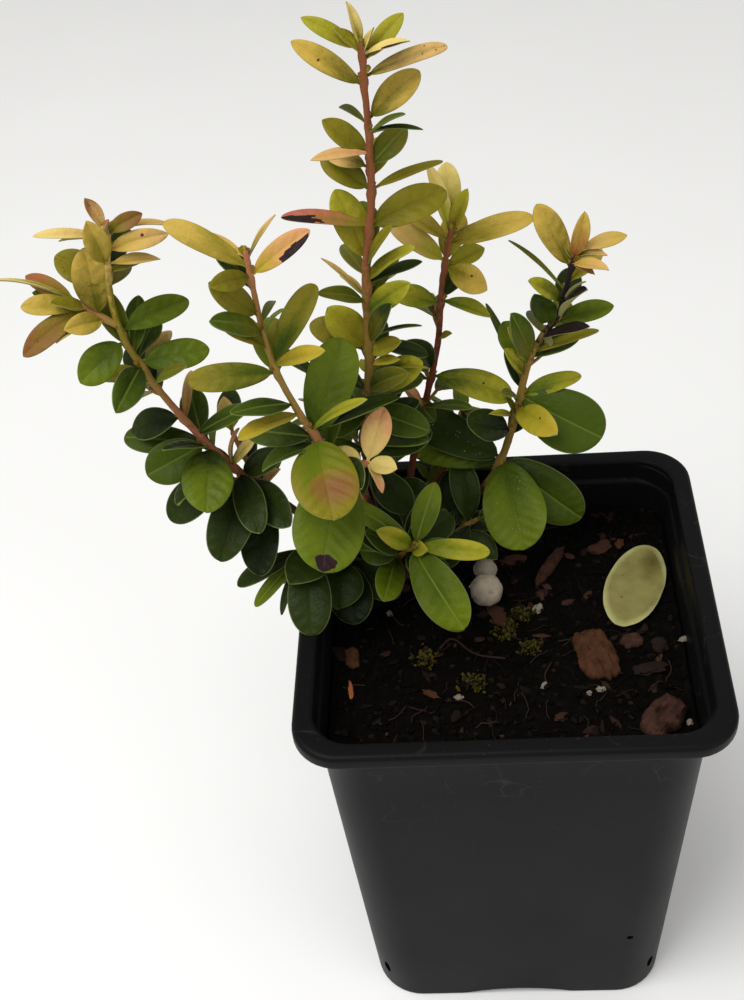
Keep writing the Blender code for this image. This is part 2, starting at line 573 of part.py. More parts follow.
def make_pot(collection, cutters, finish):
    slope = (BODY_TOP_HALF - BODY_FOOT_HALF) / POT_HEIGHT
    lip_foot = POT_HEIGHT - LIP_HEIGHT
    under_lip = POT_HEIGHT - LIP_FOLD
    ledge = POT_HEIGHT - LEDGE_DEPTH
    inner_top = BODY_TOP_HALF - WALL - 0.2
    profile = (
        (BODY_FOOT_HALF - 0.3, BODY_FOOT_CORNER - 0.3, 0.0),
        (BODY_FOOT_HALF, BODY_FOOT_CORNER, 0.6),
        (BODY_TOP_HALF, BODY_TOP_CORNER, under_lip),
        (RIM_HALF - LIP_THICK, RIM_CORNER - 0.8, under_lip),
        (RIM_HALF - LIP_THICK, RIM_CORNER - 0.8, lip_foot),
        (RIM_HALF, RIM_CORNER, lip_foot),
        (RIM_HALF, RIM_CORNER, POT_HEIGHT - 0.7),
        (RIM_HALF - 0.7, RIM_CORNER - 0.5, POT_HEIGHT),
        (BODY_TOP_HALF + 0.2, RIM_CORNER - 1.4, POT_HEIGHT),
        (BODY_TOP_HALF - 0.3, RIM_CORNER - 1.7, POT_HEIGHT - 0.6),
        (BODY_TOP_HALF - 0.5, RIM_CORNER - 1.8, ledge + 0.8),
        (inner_top, RIM_CORNER - 1.9, ledge),
        (BODY_FOOT_HALF + slope * FLOOR - WALL, BODY_FOOT_CORNER - WALL, FLOOR),
    )
    pot = mesh_object("pot", *lofted([rounded_square(*ring) for ring in profile]), collection, finish)
    arch_radius = (ARCH_WIDTH ** 2 / 4 + ARCH_RISE ** 2) / (2 * ARCH_RISE)
    for quarter in range(4):
        turn = Matrix.Rotation(quarter * math.pi / 2, 4, "Z")
        arch_at = Vector((0, -BODY_FOOT_HALF, ARCH_RISE - arch_radius))
        cut_round(pot, cutters, f"arch_{quarter}", turn, arch_at, "Y", arch_radius, 2 * ARCH_INWARD, 72)
        vent_at = Vector((VENT_FROM_MIDDLE, -BODY_FOOT_HALF, VENT_HEIGHT))
        cut_round(pot, cutters, f"vent_{quarter}", turn, vent_at, "Y", VENT_RADIUS, 8, 12)
        reach = BODY_FOOT_HALF - BODY_FOOT_CORNER * (1 - math.sqrt(0.5))
        slot_at = Vector((reach, -reach, SLOT_HEIGHT))
        cut_round(pot, cutters, f"slot_{quarter}", turn, slot_at, "D", SLOT_RADIUS, 9, 12)
    return pot


def cut_round(pot, cutters, name, turn, place, axis, radius, depth, sides):
    """Cuts a round hole along Y, or along the corner's diagonal as an upright slot."""
    bpy.ops.mesh.primitive_cylinder_add(vertices=sides, radius=radius * MM, depth=depth * MM)
    cutter = bpy.context.object
    cutter.name = name
    lie_down = Matrix.Rotation(math.pi / 2, 4, "X")
    if axis == "D":
        lie_down = Matrix.Rotation(math.pi / 4, 4, "Z") @ lie_down @ Matrix.Diagonal((1, 2.4, 1, 1))
    cutter.matrix_world = turn @ Matrix.Translation(place * MM) @ lie_down
    for home in list(cutter.users_collection):
        home.objects.unlink(cutter)
    cutters.objects.link(cutter)
    cutter.hide_render = True
    cutter.display_type = "WIRE"
    cut = pot.modifiers.new(name, "BOOLEAN")
    cut.operation = "DIFFERENCE"
    cut.object = cutter


def flat_spots():
    """Where the soil is level: middle x, y and radius of each thing that stands on it."""
    spots = [(TRUNK_FOOT.x, TRUNK_FOOT.y, FLARE_RADIUS + 1)]
    spots += [(x, y, radius) for x, y, radius in BEADS]
    spots += [(x, y, length / 2 + 1) for x, y, length, *_ in CHIPS]
    spots.append((*FALLEN_LEAF["middle"], FALLEN_LEAF["length"] / 2 + 1))
    return spots


def soil_height(x, y):
    """Crumbly hollows and rises, easing to the level of the soil around each flat spot."""
    waves = math.sin(0.31 * x + 1.3) * math.cos(0.27 * y) + 0.6 * math.sin(0.53 * y - 0.4 * x)
    ease = min(1.0, min(max(0.0, math.hypot(x - a, y - b) - r) / 5 for a, b, r in flat_spots()))
    return SOIL_TOP - ease * (SOIL_DIP - 0.5 * SOIL_ROUGHNESS * waves)


def make_soil(collection, finish):
    slope = (BODY_TOP_HALF - BODY_FOOT_HALF) / POT_HEIGHT
    inset = WALL + GAP + SOIL_CLEAR
    edge_z = SOIL_TOP - SOIL_EDGE_DROP
    floor_z = FLOOR + GAP
    low = BODY_FOOT_HALF + slope * floor_z - inset
    wide = BODY_FOOT_HALF + slope * edge_z - inset
    rings = [
        rounded_square(low, BODY_FOOT_CORNER - inset, floor_z, SOIL_SIDE_STEPS),
        rounded_square(wide, SOIL_CORNER, edge_z, SOIL_SIDE_STEPS),
    ]
    for ring in range(SOIL_RINGS):
        share = 1 - (ring + 0.35) / SOIL_RINGS
        level = rounded_square(wide * share, SOIL_CORNER * share, 0, SOIL_SIDE_STEPS)
        rings.append([(x, y, soil_height(x, y)) for x, y, _ in level])
    rings.append([(0, 0, soil_height(0, 0))])
    return mesh_object("soil", *lofted(rings), collection, finish)


def make_trunk(collection, finish):
    points = smooth_route([TRUNK_FOOT, *TRUNK_ROUTE])
    up = [TRUNK_FOOT, TRUNK_FOOT + Vector((0, 0, 1.2)), TRUNK_FOOT + Vector((0, 0, FLARE_HEIGHT / 2))]
    points = up + [p for p in points if p.z > TRUNK_FOOT.z + FLARE_HEIGHT - 0.5]
    radii = []
    for point, plain in zip(points, tapered(points, TRUNK_RADIUS, TRUNK_TOP_RADIUS)):
        low = max(0.0, 1 - (point.z - TRUNK_FOOT.z) / FLARE_HEIGHT)
        radii.append(plain + (FLARE_RADIUS - TRUNK_RADIUS) * low * low)
    return tube("trunk", points, radii, collection, finish, sides=8), points, radii


def leaving(trunk_points, trunk_radii, height, toward, radius):
    """Where a bough of this radius starts, the gap clear of the trunk's flank."""
    i = min(range(len(trunk_points)), key=lambda k: abs(trunk_points[k].z - height))
    a, b = (i, i + 1) if trunk_points[i].z <= height else (i - 1, i)
    share = (height - trunk_points[a].z) / (trunk_points[b].z - trunk_points[a].z)
    middle = trunk_points[a].lerp(trunk_points[b], share)
    thick = trunk_radii[a] + (trunk_radii[b] - trunk_radii[a]) * share
    way = (Vector(toward) - middle).normalized()
    flat = Vector((way.x, way.y, 0)).normalized()
    return middle + flat * (thick + GAP + radius * abs(way.z) + 0.1)


def fused(name, stem, extras, collection, finish):
    """Joins a stem with its twigs and leaves by one union, and keeps the one body that they make."""
    union = stem.modifiers.new("join", "BOOLEAN")
    union.operation = "UNION"
    union.operand_type = "COLLECTION"
    union.collection = extras
    union.solver = "EXACT"
    bpy.context.view_layer.update()
    mesh = bpy.data.meshes.new_from_object(stem.evaluated_get(bpy.context.evaluated_depsgraph_get()))
    shell = bmesh.new()
    shell.from_mesh(mesh)
    bmesh.ops.triangulate(shell, faces=shell.faces)
    keep_largest_body(shell)
    shell.to_mesh(mesh)
    shell.free()
    mesh.name = name
    mesh.materials.clear()
    mesh.materials.append(finish)
    made = bpy.data.objects.new(name, mesh)
    collection.objects.link(made)
    for item in [stem, *extras.objects]:
        bpy.data.objects.remove(item, do_unlink=True)
    bpy.data.collections.remove(extras)
    return made


def keep_largest_body(shell):
    """Drops loose scraps and the skins of sealed hollows."""
    waiting = set(shell.faces)
    bodies = []
    while waiting:
        body = []
        queue = [waiting.pop()]
        while queue:
            face = queue.pop()
            body.append(face)
            for edge in face.edges:
                for other in edge.link_faces:
                    if other in waiting:
                        waiting.remove(other)
                        queue.append(other)
        bodies.append(body)
    bodies.sort(key=len)
    loose = [face for body in bodies[:-1] for face in body]
    bmesh.ops.delete(shell, geom=loose, context="FACES")


def grow_stem(name, points, radii, rows, usual, crown, collection):
    """The stem of one mass and its side twigs, with the rows of leaves that each of them carries."""
    mass = f"leaves_{name}"
    extras = bpy.data.collections.new(mass + "_pieces")
    bpy.context.scene.collection.children.link(extras)
    stem = tube(mass + "_stem", points, radii, collection)
    crown.limbs.append((mass, surface_tree(stem)))
    hosts = [(points, rows, usual)]
    for home, place, clock, toward, length, twig_rows in TWIGS:
        if home == name:
            root = at_share(points, place)[0]
            tip = root + seen_direction(root, clock, toward) * length
            way = [root, root.lerp(tip, 0.5) + Vector((0, 0, -TWIG_SAG * length)), tip]
            twig = tube(f"{mass}_twig_{place}", way, tapered(way, *TWIG_RADII), extras)
            crown.limbs.append((mass, surface_tree(twig)))
            hosts.append((way, twig_rows, None))
    return mass, stem, extras, hosts


def leaf_out(mass, extras, hosts, spiral, crown, chance):
    """The leaves of one mass: those of its rows, then those of the spiral rule."""
    leaves = []
    for points, rows, usual in hosts:
        for number, (place, *row) in enumerate(rows):
            staggered = min(place, TIP_PLACE) - NODE_STAGGER * (number % 4)
            root, axis = at_share(points, max(staggered, LOWEST_PLACE))
            leaf = crown.settle(mass, root, axis, real_leaf(place, *row, usual))
            if leaf:
                leaves.append(leaf)
    stem_points, _, sizes = hosts[0]
    leaves += crown.add_spiral(mass, stem_points, spiral, sizes, chance)
    for number, leaf in enumerate(leaves):
        mesh_object(f"{mass}_leaf_{number}", *leaf.skin(), extras)


def make_plant(collection, wood, foliage):
    chance = random.Random(SEED)
    crown = Crown()
    trunk, trunk_points, trunk_radii = make_trunk(collection, wood)
    crown.limbs.append(("trunk", surface_tree(trunk)))
    end, before = trunk_points[-1], trunk_points[-2]
    leader = smooth_route([end + (end - before).normalized() * GAP, *LEADER["route"]])
    masses = {"leader": (LEADER, grow_stem("leader", leader, tapered(leader, *LEADER["radii"]),
                                           LEADER["leaves"], LEADER["size"], crown, collection))}
    for name, shoot in SHOOTS.items():
        thick, thin = shoot["radii"]
        start = leaving(trunk_points, trunk_radii, shoot["height"], shoot["route"][0], thick)
        path = smooth_route([start, *shoot["route"]])
        bare = part_of(path, 0.0, shoot["bare"])
        leafy = part_of(path, shoot["bare"] + GAP / lengths_along(path)[-1], 1.0)
        middle = thick + (thin - thick) * shoot["bare"]
        limb = tube(f"bough_{name}", bare, tapered(bare, thick, middle), collection, wood)
        crown.limbs.append((limb.name, surface_tree(limb)))
        radii = tapered(leafy, middle, thin)
        stem = grow_stem(name, leafy, radii, shoot["leaves"], shoot["size"], crown, collection)
        masses[name] = (shoot, stem)
    for name in ORDER:
        shoot, (mass, stem, extras, hosts) = masses[name]
        leaf_out(mass, extras, hosts, shoot["spiral"], crown, chance)
        fused(mass, stem, extras, collection, foliage)


def make_beads(collection, finish):
    for number, (x, y, radius) in enumerate(BEADS, 1):
        bpy.ops.mesh.primitive_uv_sphere_add(segments=12, ring_count=8, radius=radius * MM)
        bead = bpy.context.object
        bead.name = f"bead_{number}"
        bead.location = Vector((x, y, SOIL_TOP + GAP + radius)) * MM
        bead.data.materials.append(finish)
        bead.data.shade_smooth()
        for home in list(bead.users_collection):
            home.objects.unlink(bead)
        collection.objects.link(bead)


def make_chips(collection, finish):
    """Flakes of bark: low six-sided slabs with a narrower top."""
    for number, (x, y, length, width, thick, turn) in enumerate(CHIPS, 1):
        bpy.ops.mesh.primitive_cone_add(vertices=6, radius1=0.5 * MM, radius2=0.36 * MM, depth=MM)
        chip = bpy.context.object
        chip.name = f"chip_{number}"
        chip.location = Vector((x, y, SOIL_TOP + GAP + thick / 2)) * MM
        chip.rotation_euler.z = math.radians(turn)
        chip.scale = (length, width, thick)
        chip.data.materials.append(finish)
        for home in list(chip.users_collection):
            home.objects.unlink(chip)
        collection.objects.link(chip)


def make_fallen_leaf(collection, finish):
    spec = FALLEN_LEAF
    bpy.ops.mesh.primitive_cylinder_add(vertices=20, radius=0.5 * MM, depth=MM)
    leaf = bpy.context.object
    leaf.name = "fallen_leaf"
    leaf.location = Vector((*spec["middle"], SOIL_TOP + GAP + spec["thick"] / 2)) * MM
    leaf.rotation_euler.z = math.radians(spec["turn"])
    leaf.scale = (spec["length"], spec["width"], spec["thick"])
    leaf.data.materials.append(finish)
    for home in list(leaf.users_collection):
        home.objects.unlink(leaf)
    collection.objects.link(leaf)


def main():
    clear_scene()
    plant = new_collection("potted_lingonberry")
    cutters = new_collection("cutters")
    make_pot(plant, cutters, material("pot_plastic", (0.02, 0.021, 0.022), 0.5))
    make_soil(plant, material("peat", (0.018, 0.013, 0.01), 0.95))
    wood = material("young_bark", (0.22, 0.09, 0.06), 0.6)
    foliage = material("foliage", (0.16, 0.22, 0.04), 0.4)
    make_plant(plant, wood, foliage)
    make_beads(plant, material("bead_coat", (0.62, 0.58, 0.52), 0.6))
    make_chips(plant, material("bark_chip", (0.16, 0.07, 0.04), 0.85))
    make_fallen_leaf(plant, material("yellow_leaf", (0.42, 0.46, 0.13), 0.5))


main()
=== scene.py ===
"""Looks of the potted red pearl lingonberry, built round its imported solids.

Lengths here are millimetres in the part's own frame, and MM turns them into metres. Leaves are placed
by the source's own rows and rule, and each one becomes a full blade on a barked stem.
"""

import math
import random

import bmesh
import bpy
import numpy as np
from mathutils import Matrix, Vector, noise
from mathutils.bvhtree import BVHTree


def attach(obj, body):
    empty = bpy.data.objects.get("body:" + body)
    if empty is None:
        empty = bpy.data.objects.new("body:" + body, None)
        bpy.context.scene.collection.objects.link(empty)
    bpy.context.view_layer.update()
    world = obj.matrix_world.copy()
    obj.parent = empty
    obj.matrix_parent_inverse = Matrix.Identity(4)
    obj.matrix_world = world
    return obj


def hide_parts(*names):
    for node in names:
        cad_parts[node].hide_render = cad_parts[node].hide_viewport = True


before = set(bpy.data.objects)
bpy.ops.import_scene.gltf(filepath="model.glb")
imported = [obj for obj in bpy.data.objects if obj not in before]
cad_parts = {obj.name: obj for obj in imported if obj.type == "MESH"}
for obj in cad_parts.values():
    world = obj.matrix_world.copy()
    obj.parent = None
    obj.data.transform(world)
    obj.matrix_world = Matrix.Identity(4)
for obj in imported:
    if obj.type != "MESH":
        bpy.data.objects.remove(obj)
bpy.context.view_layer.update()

MM = 0.001
SEED = 7
GAP = 0.3

# Pot and soil sizes, as in the source.
POT_HEIGHT = 110.0
RIM_HALF = 45.0
RIM_CORNER = 10.0
LIP_HEIGHT = 3.3
LIP_THICK = 1.1
LIP_FOLD = 1.3
BODY_TOP_HALF = 41.0
BODY_TOP_CORNER = 10.4
BODY_FOOT_HALF = 35.6
BODY_FOOT_CORNER = 11.5
WALL = 1.1
FLOOR = 3.0
LEDGE_DEPTH = 6.0
ARCH_WIDTH = 30.0
ARCH_RISE = 2.6
ARCH_INWARD = 12.0
SLOT_RADIUS = 1.0
SLOT_HEIGHT = 9.0
VENT_RADIUS = 0.8
VENT_HEIGHT = 27.4
VENT_FROM_MIDDLE = 26.6
POT_SLOPE = (BODY_TOP_HALF - BODY_FOOT_HALF) / POT_HEIGHT
SOIL_TOP = 97.0

# Finer than the source: steps round each corner, and heights of the rings up the wall.
CORNER_STEPS = 10
WALL_RINGS = (20.0, 45.0, 70.0, 92.0)

# Trunk and shoots, as in the source.
TRUNK_FOOT = Vector((-24.3, 19.0, SOIL_TOP + GAP))
TRUNK_ROUTE = ((-25, 19, 106), (-26, 18, 117), (-27.5, 17.5, 127))
TRUNK_RADIUS = 2.2
TRUNK_TOP_RADIUS = 1.4
FLARE_RADIUS = 3.4
FLARE_HEIGHT = 5.0
STEM_STEP = 4.0
VIEW_POINT = Vector((-5.6, -219.7, 338.8))
VIEW_RIGHT = Vector((0.9965, 0.0234, -0.0804))
LEAF_STATIONS = ((0.0, 0.15), (0.36, 0.78), (0.66, 1.0), (0.88, 0.68))
LEAF_THICK = 0.55
LEAF_ARCH = 0.10
LEAF_CLEAR = 0.45
OUTER_FROM = 0.3
ROOT_DEPTH = 0.2
TIP_PLACE = 0.985
LOWEST_PLACE = 0.01
NODE_STAGGER = 0.007
NUDGES = tuple((turn, tip, scale) for scale in (1.0, 0.9, 0.78) for tip in (0, 9, -9, 18, -18, 28, -28)
               for turn in (0, 5, -5))
YOUNG_FROM = 0.95
SHORT_SHARE = 0.72
MOST_TIP = 56.0
POINTS_UP = 0.6
WIDEST = 0.5
EDGE_ON = 0.7
DENSE_LEFT = -32.0
DENSE_RIGHT = 20.0
DENSE_TOP = 31.0
TURNED_AWAY = -0.62
GOLDEN_ANGLE = 137.5
SPIRAL_FOOT = 0.06
SPIRAL_RISE = (22, 48)
SPIRAL_SCALE = 0.85
SPIRAL_VARY = 1.5
SPIRAL_WIDTH = 0.48
RIM_REACH = 8.0
OVER_RIM = 2.0
OVER_SOIL = 3.0

# The camera's upward direction and lens.
VIEW_UP = Vector((0.0435, 0.676, 0.7356))
VIEW_LENS = 51.73

# One leaf a row, as seen: place on the stem, direction, toward, length, width, face, tones and any mark.
# Low and inner leaves take the deep and dark tones, which are partly painted shade.
LEADER_LEAVES = (
    (1.00, 105, 20, 9, 2.5, 0.4, "olive cream"), (1.00, 125, 35, 7, 2.5, 0.5, "lime olive"),
    (1.00, 75, 25, 6, 1.5, 0.4, "olive cream"), (1.00, 50, 5, 11, 4, 0.7, "olive lime"),
    (0.99, 150, 10, 12, 3.5, 0.7, "olive lime"), (1.00, 20, 5, 9, 2, 0.4, "cream cream blotch"),
    (0.95, 25, 0, 16, 3.5, 0.6, "moss tan specks"), (0.95, 155, -15, 13, 2.5, 0.4, "olive gold"),
    (0.92, 150, 15, 15, 4.5, 0.8, "moss gold spot"), (0.86, 45, 5, 13, 5.5, 0.7, "moss gold"),
    (0.86, 140, -10, 8, 1.5, 0.3, "moss dark"), (0.85, 35, 0, 7, 1.5, 0.3, "moss green"),
    (0.83, 20, -20, 8, 1, 0.3, "dark dark"), (0.77, 50, 15, 10, 5, 0.8, "green moss"),
    (0.80, 145, 20, 11, 4.5, 0.8, "moss olive"), (0.78, 160, -10, 10, 3.5, 0.5, "moss tan"),
    (0.79, 180, 25, 12, 2, 0.4, "peach tan"), (0.72, 145, 5, 12, 5, 0.8, "moss olive"),
    (0.73, 25, -10, 15, 2, 0.4, "olive olive"), (0.66, 30, 10, 16, 6.5, 0.8, "moss olive"),
    (0.57, 110, 20, 15, 6.5, 0.8, "olive lime"), (0.65, 170, 0, 17, 3, 0.5, "olive pink burnt"),
    (0.55, 125, -15, 10, 3, 0.6, "moss moss"), (0.51, 130, -20, 9, 1.5, 0.4, "olive tan"),
    (0.49, 135, 10, 12, 1, 0.2, "olive tan"), (0.56, 70, 0, 9, 2.5, 0.5, "moss olive"),
    (0.54, 45, 10, 10, 3, 0.5, "moss lime"), (0.53, 40, -10, 9, 2.5, 0.5, "olive cream"),
    (0.52, 25, 10, 12, 2, 0.3, "dark dark"), (0.50, 15, -15, 11, 3, 0.5, "fresh lime"),
    (0.47, 40, 20, 10, 4.5, 0.8, "fresh lime"), (0.41, 65, 0, 9, 4, 0.6, "moss dark"),
    (0.48, 160, 10, 8, 3, 0.5, "green moss"), (0.38, 135, 20, 12, 7, 0.9, "olive lime"),
    (0.39, 155, 5, 13, 6, 0.8, "moss olive"), (0.42, 20, 10, 8, 1, 0.2, "dark dark"),
    (0.36, 25, 15, 6.5, 3.5, 0.7, "lime olive"), (0.34, 20, 30, 6.5, 2, 0.5, "yellow lime"),
    (0.40, -10, -10, 13, 3, 0.4, "deep dark"), (0.33, 20, 10, 11, 1, 0.2, "green olive"),
    (0.27, 35, 15, 9, 4.5, 0.7, "green moss"), (0.17, 35, 20, 13, 4, 0.5, "deep dark"),
    (0.28, 40, 30, 11, 6, 0.8, "moss lime"), (0.25, 205, 30, 12, 6.5, 0.8, "dark green"),
    (0.22, -20, 20, 14, 7, 0.8, "dark green"), (0.17, 150, 20, 14, 7, 0.7, "dark dark"),
    (0.12, 20, 25, 15, 7.5, 0.8, "dark dark"), (0.09, 235, 30, 14, 7.5, 0.8, "deep dark"),
    (0.05, -50, 25, 14, 7.5, 0.8, "deep dark"),
)
LEFT_LEAVES = (
    (1.00, 115, 0, 7, 3, 0.5, "tan brown"), (1.00, 30, 10, 8, 4, 0.8, "olive brown"),
    (0.98, 55, 0, 4.5, 2.5, 0.6, "peach pink"), (0.97, 95, 10, 6, 2.5, 0.5, "peach pink"),
    (0.99, 15, -10, 13, 2, 0.3, "gold tan"), (0.94, 25, 10, 12, 4.5, 0.8, "gold tan spot"),
    (0.91, 10, 15, 10, 2.5, 0.5, "gold tan"), (0.99, 175, -10, 9, 1.5, 0.3, "tan olive"),
    (0.97, 175, 5, 13, 2.5, 0.5, "tan cream"), (0.90, 110, 20, 8, 5.5, 0.9, "olive gold"),
    (0.85, 150, -10, 12, 7, 0.8, "moss olive specks"), (0.89, 30, -5, 9, 2.5, 0.5, "olive olive"),
    (0.83, 60, -10, 7, 4, 0.6, "olive moss"), (0.65, 115, 10, 13, 4.5, 0.6, "green moss"),
    (0.63, 85, 0, 12, 4, 0.6, "green green"), (0.72, 30, -5, 15, 5, 0.7, "green fresh"),
    (0.60, 70, -20, 11, 4.5, 0.6, "dark green"), (0.57, 60, -30, 12, 3, 0.5, "olive tan"),
    (0.60, 15, 10, 14, 6, 0.8, "green fresh"), (0.69, -140, 15, 12, 7, 0.8, "green fresh"),
    (0.58, -120, 25, 9, 6, 1.0, "dark green"), (0.52, 40, 5, 8, 2, 0.4, "fresh moss"),
    (0.49, 105, -5, 7, 2.5, 0.5, "moss olive"), (0.30, 105, -15, 12, 6, 0.7, "dark green"),
    (0.36, 85, -5, 9, 2, 0.4, "brown tan"), (0.31, 30, 5, 11, 3.5, 0.5, "dark green"),
    (0.39, -170, -25, 13, 6, 0.6, "deep dark"), (0.28, 175, 0, 18, 6, 0.8, "dark green"),
    (0.24, 175, -15, 10, 3, 0.4, "deep dark"), (0.27, -150, -5, 14, 9, 0.9, "green green"),
    (0.26, -95, 40, 15, 10.5, 1.0, "dark fresh"), (0.16, -145, -15, 19, 7.5, 0.7, "deep dark"),
    (0.09, -105, 20, 19, 9.5, 0.9, "deep dark"), (0.02, -95, 5, 19, 8, 0.8, "deep deep"),
    (0.05, 70, -15, 12, 6, 0.6, "deep dark"), (0.17, 55, 10, 7, 2.5, 0.5, "olive cream"),
    (0.15, 95, 5, 7, 1.5, 0.3, "rust peach"), (0.03, 45, 10, 5, 2, 0.4, "rust tan"),
    (0.01, 75, 0, 7, 3, 0.4, "dark green"), (0.13, -75, 30, 12, 6.5, 0.9, "deep dark"),
    (0.07, -50, 30, 13, 7, 0.9, "deep dark"), (0.11, 30, 25, 9, 5, 0.8, "deep dark"),
)
LEFT_TIP_LEAVES = (
    (0.45, 100, 40, 15, 7, 1.0, "moss gold"), (1.00, 155, 0, 16, 1.5, 0.2, "olive cream"),
    (1.00, 150, -15, 12, 3, 0.5, "olive rust"), (1.00, 160, -25, 10, 2.5, 0.5, "dark green"),
    (0.78, 170, 10, 12, 4, 0.7, "olive gold"), (0.70, 170, 20, 8, 3, 0.6, "olive olive"),
    (0.75, -155, 15, 15, 4.5, 0.7, "olive brown specks"), (0.50, -150, 20, 10, 2.5, 0.5, "olive gold"),
    (0.30, -165, 30, 9, 4, 0.8, "olive gold"),
)
LOW_LEFT_LEAVES = (
    (1.00, 95, -20, 11, 5, 0.5, "dark dark"), (1.00, 105, 10, 8, 4, 0.6, "olive tan"),
    (0.35, 100, -10, 9, 4.5, 0.4, "deep dark"),
)
MID_LEFT_LEAVES = (
    (0.94, 150, 10, 17, 5, 0.7, "olive gold"), (1.00, 155, -10, 12, 3.5, 0.5, "gold tan"),
    (1.00, 60, -10, 10, 1, 0.1, "olive tan"), (0.93, 40, 20, 14, 5, 0.8, "yellow peach blotch"),
    (0.91, -165, 20, 7, 4.5, 0.8, "moss olive"), (0.77, 140, 20, 9, 5, 0.8, "moss olive"),
    (0.71, 155, 5, 8, 4, 0.6, "moss green"), (0.66, 145, -10, 9, 4, 0.6, "moss olive"),
    (0.73, 65, -10, 7.5, 1.5, 0.3, "green moss"), (0.71, 60, 0, 5.5, 1.5, 0.3, "green moss"),
    (0.59, 65, 5, 17, 5, 0.7, "green olive"), (0.56, -175, 10, 17, 5.5, 0.9, "green olive"),
    (0.57, 20, 30, 9, 3, 0.5, "olive yellow"), (0.24, 75, 15, 20, 10, 1.0, "green fresh"),
    (0.41, -175, -25, 12, 4, 0.5, "dark green"), (0.37, -165, 15, 12, 3, 0.4, "olive yellow"),
    (0.23, 175, -10, 15, 5.5, 0.7, "dark green"), (0.27, 40, 0, 10, 2, 0.3, "fresh lime"),
    (0.24, -80, 40, 19, 13, 1.0, "fresh olive patch"), (0.07, -100, 25, 23, 14.5, 1.0, "green fresh bruise"),
    (0.26, 25, -10, 20, 3.5, 0.4, "deep dark"),
)
DRY_LEAVES = (
    (1.00, 75, 10, 12, 6, 1.0, "cream peach"), (0.85, 150, 10, 7, 3.5, 0.7, "cream cream"),
    (1.00, -10, 20, 6.5, 4.5, 0.7, "cream cream"), (1.00, -55, 20, 7, 2, 0.5, "cream peach"),
    (0.80, -135, 30, 4, 2, 0.5, "cream peach"),
)
FRONT_LEAVES = (
    (1.00, 75, 15, 14, 7, 1.0, "green bright"), (1.00, -5, 15, 16, 5.5, 0.9, "bright lime"),
    (0.90, 155, 25, 8, 5, 0.9, "fresh lime"), (1.00, 140, 5, 18, 5, 0.6, "green bright"),
    (0.85, -60, 20, 21, 11, 1.0, "green bright"), (0.10, -110, 30, 10, 6.5, 1.0, "green bright"),
    (0.88, -10, 40, 3.5, 4, 0.9, "bright lime"), (0.50, 180, -5, 10, 6.5, 0.7, "dark green"),
    (0.20, 110, 10, 15, 7.5, 0.8, "deep dark"), (0.35, 75, -15, 15, 7.5, 0.7, "deep dark"),
    (0.12, 150, 15, 14, 7, 0.7, "deep deep"), (0.55, 40, -20, 15, 7, 0.7, "dark dark"),
)
LOW_FRONT_LEAVES = (
    (1.00, -155, 10, 17, 5, 0.6, "deep dark"), (1.00, -135, 5, 17, 4, 0.7, "green bright"),
    (1.00, -120, -5, 16, 2.5, 0.5, "deep dark"), (1.00, -90, 25, 19, 12, 1.0, "deep dark"),
    (0.45, -95, 30, 12, 11, 1.0, "deep dark"), (0.35, -85, 20, 15, 10, 0.9, "deep deep"),
    (0.80, -140, 15, 9, 9, 0.9, "dark dark"), (0.30, -40, 15, 14, 7.5, 0.8, "deep dark"),
    (0.90, 215, -25, 12, 6, 0.5, "deep dark"),
)
CENTRE_RIGHT_LEAVES = (
    (0.99, 95, -5, 14, 6, 0.7, "lime cream"), (0.97, 105, 10, 15, 3.5, 0.4, "lime cream"),
    (0.98, 70, 20, 10, 3.5, 0.6, "olive lime"), (1.00, 20, -10, 12, 1.5, 0.2, "olive gold"),
    (0.92, 20, 10, 18, 5.5, 0.7, "olive gold"), (0.94, 145, -5, 12, 4, 0.5, "olive gold"),
    (0.84, 145, 15, 14, 5, 0.7, "lime tan"), (0.81, 30, -10, 10, 4, 0.6, "lime lime"),
    (0.80, -25, 15, 10, 6, 0.8, "olive gold spot"), (0.63, -10, 10, 11, 3, 0.4, "fresh lime"),
    (0.62, 165, 10, 11, 4.5, 0.6, "fresh lime"), (0.54, 110, -10, 7, 3, 0.5, "green moss"),
    (0.43, 25, 20, 3, 1.5, 0.5, "olive olive"), (0.28, 125, 10, 7, 5, 0.7, "deep dark"),
    (0.25, -10, 10, 18, 6, 0.6, "green lime spot"), (0.09, 5, 5, 9, 2.5, 0.4, "green green"),
    (0.06, 120, 10, 6, 2, 0.4, "rust peach"), (0.22, 160, -20, 9, 4, 0.3, "dark green"),
)
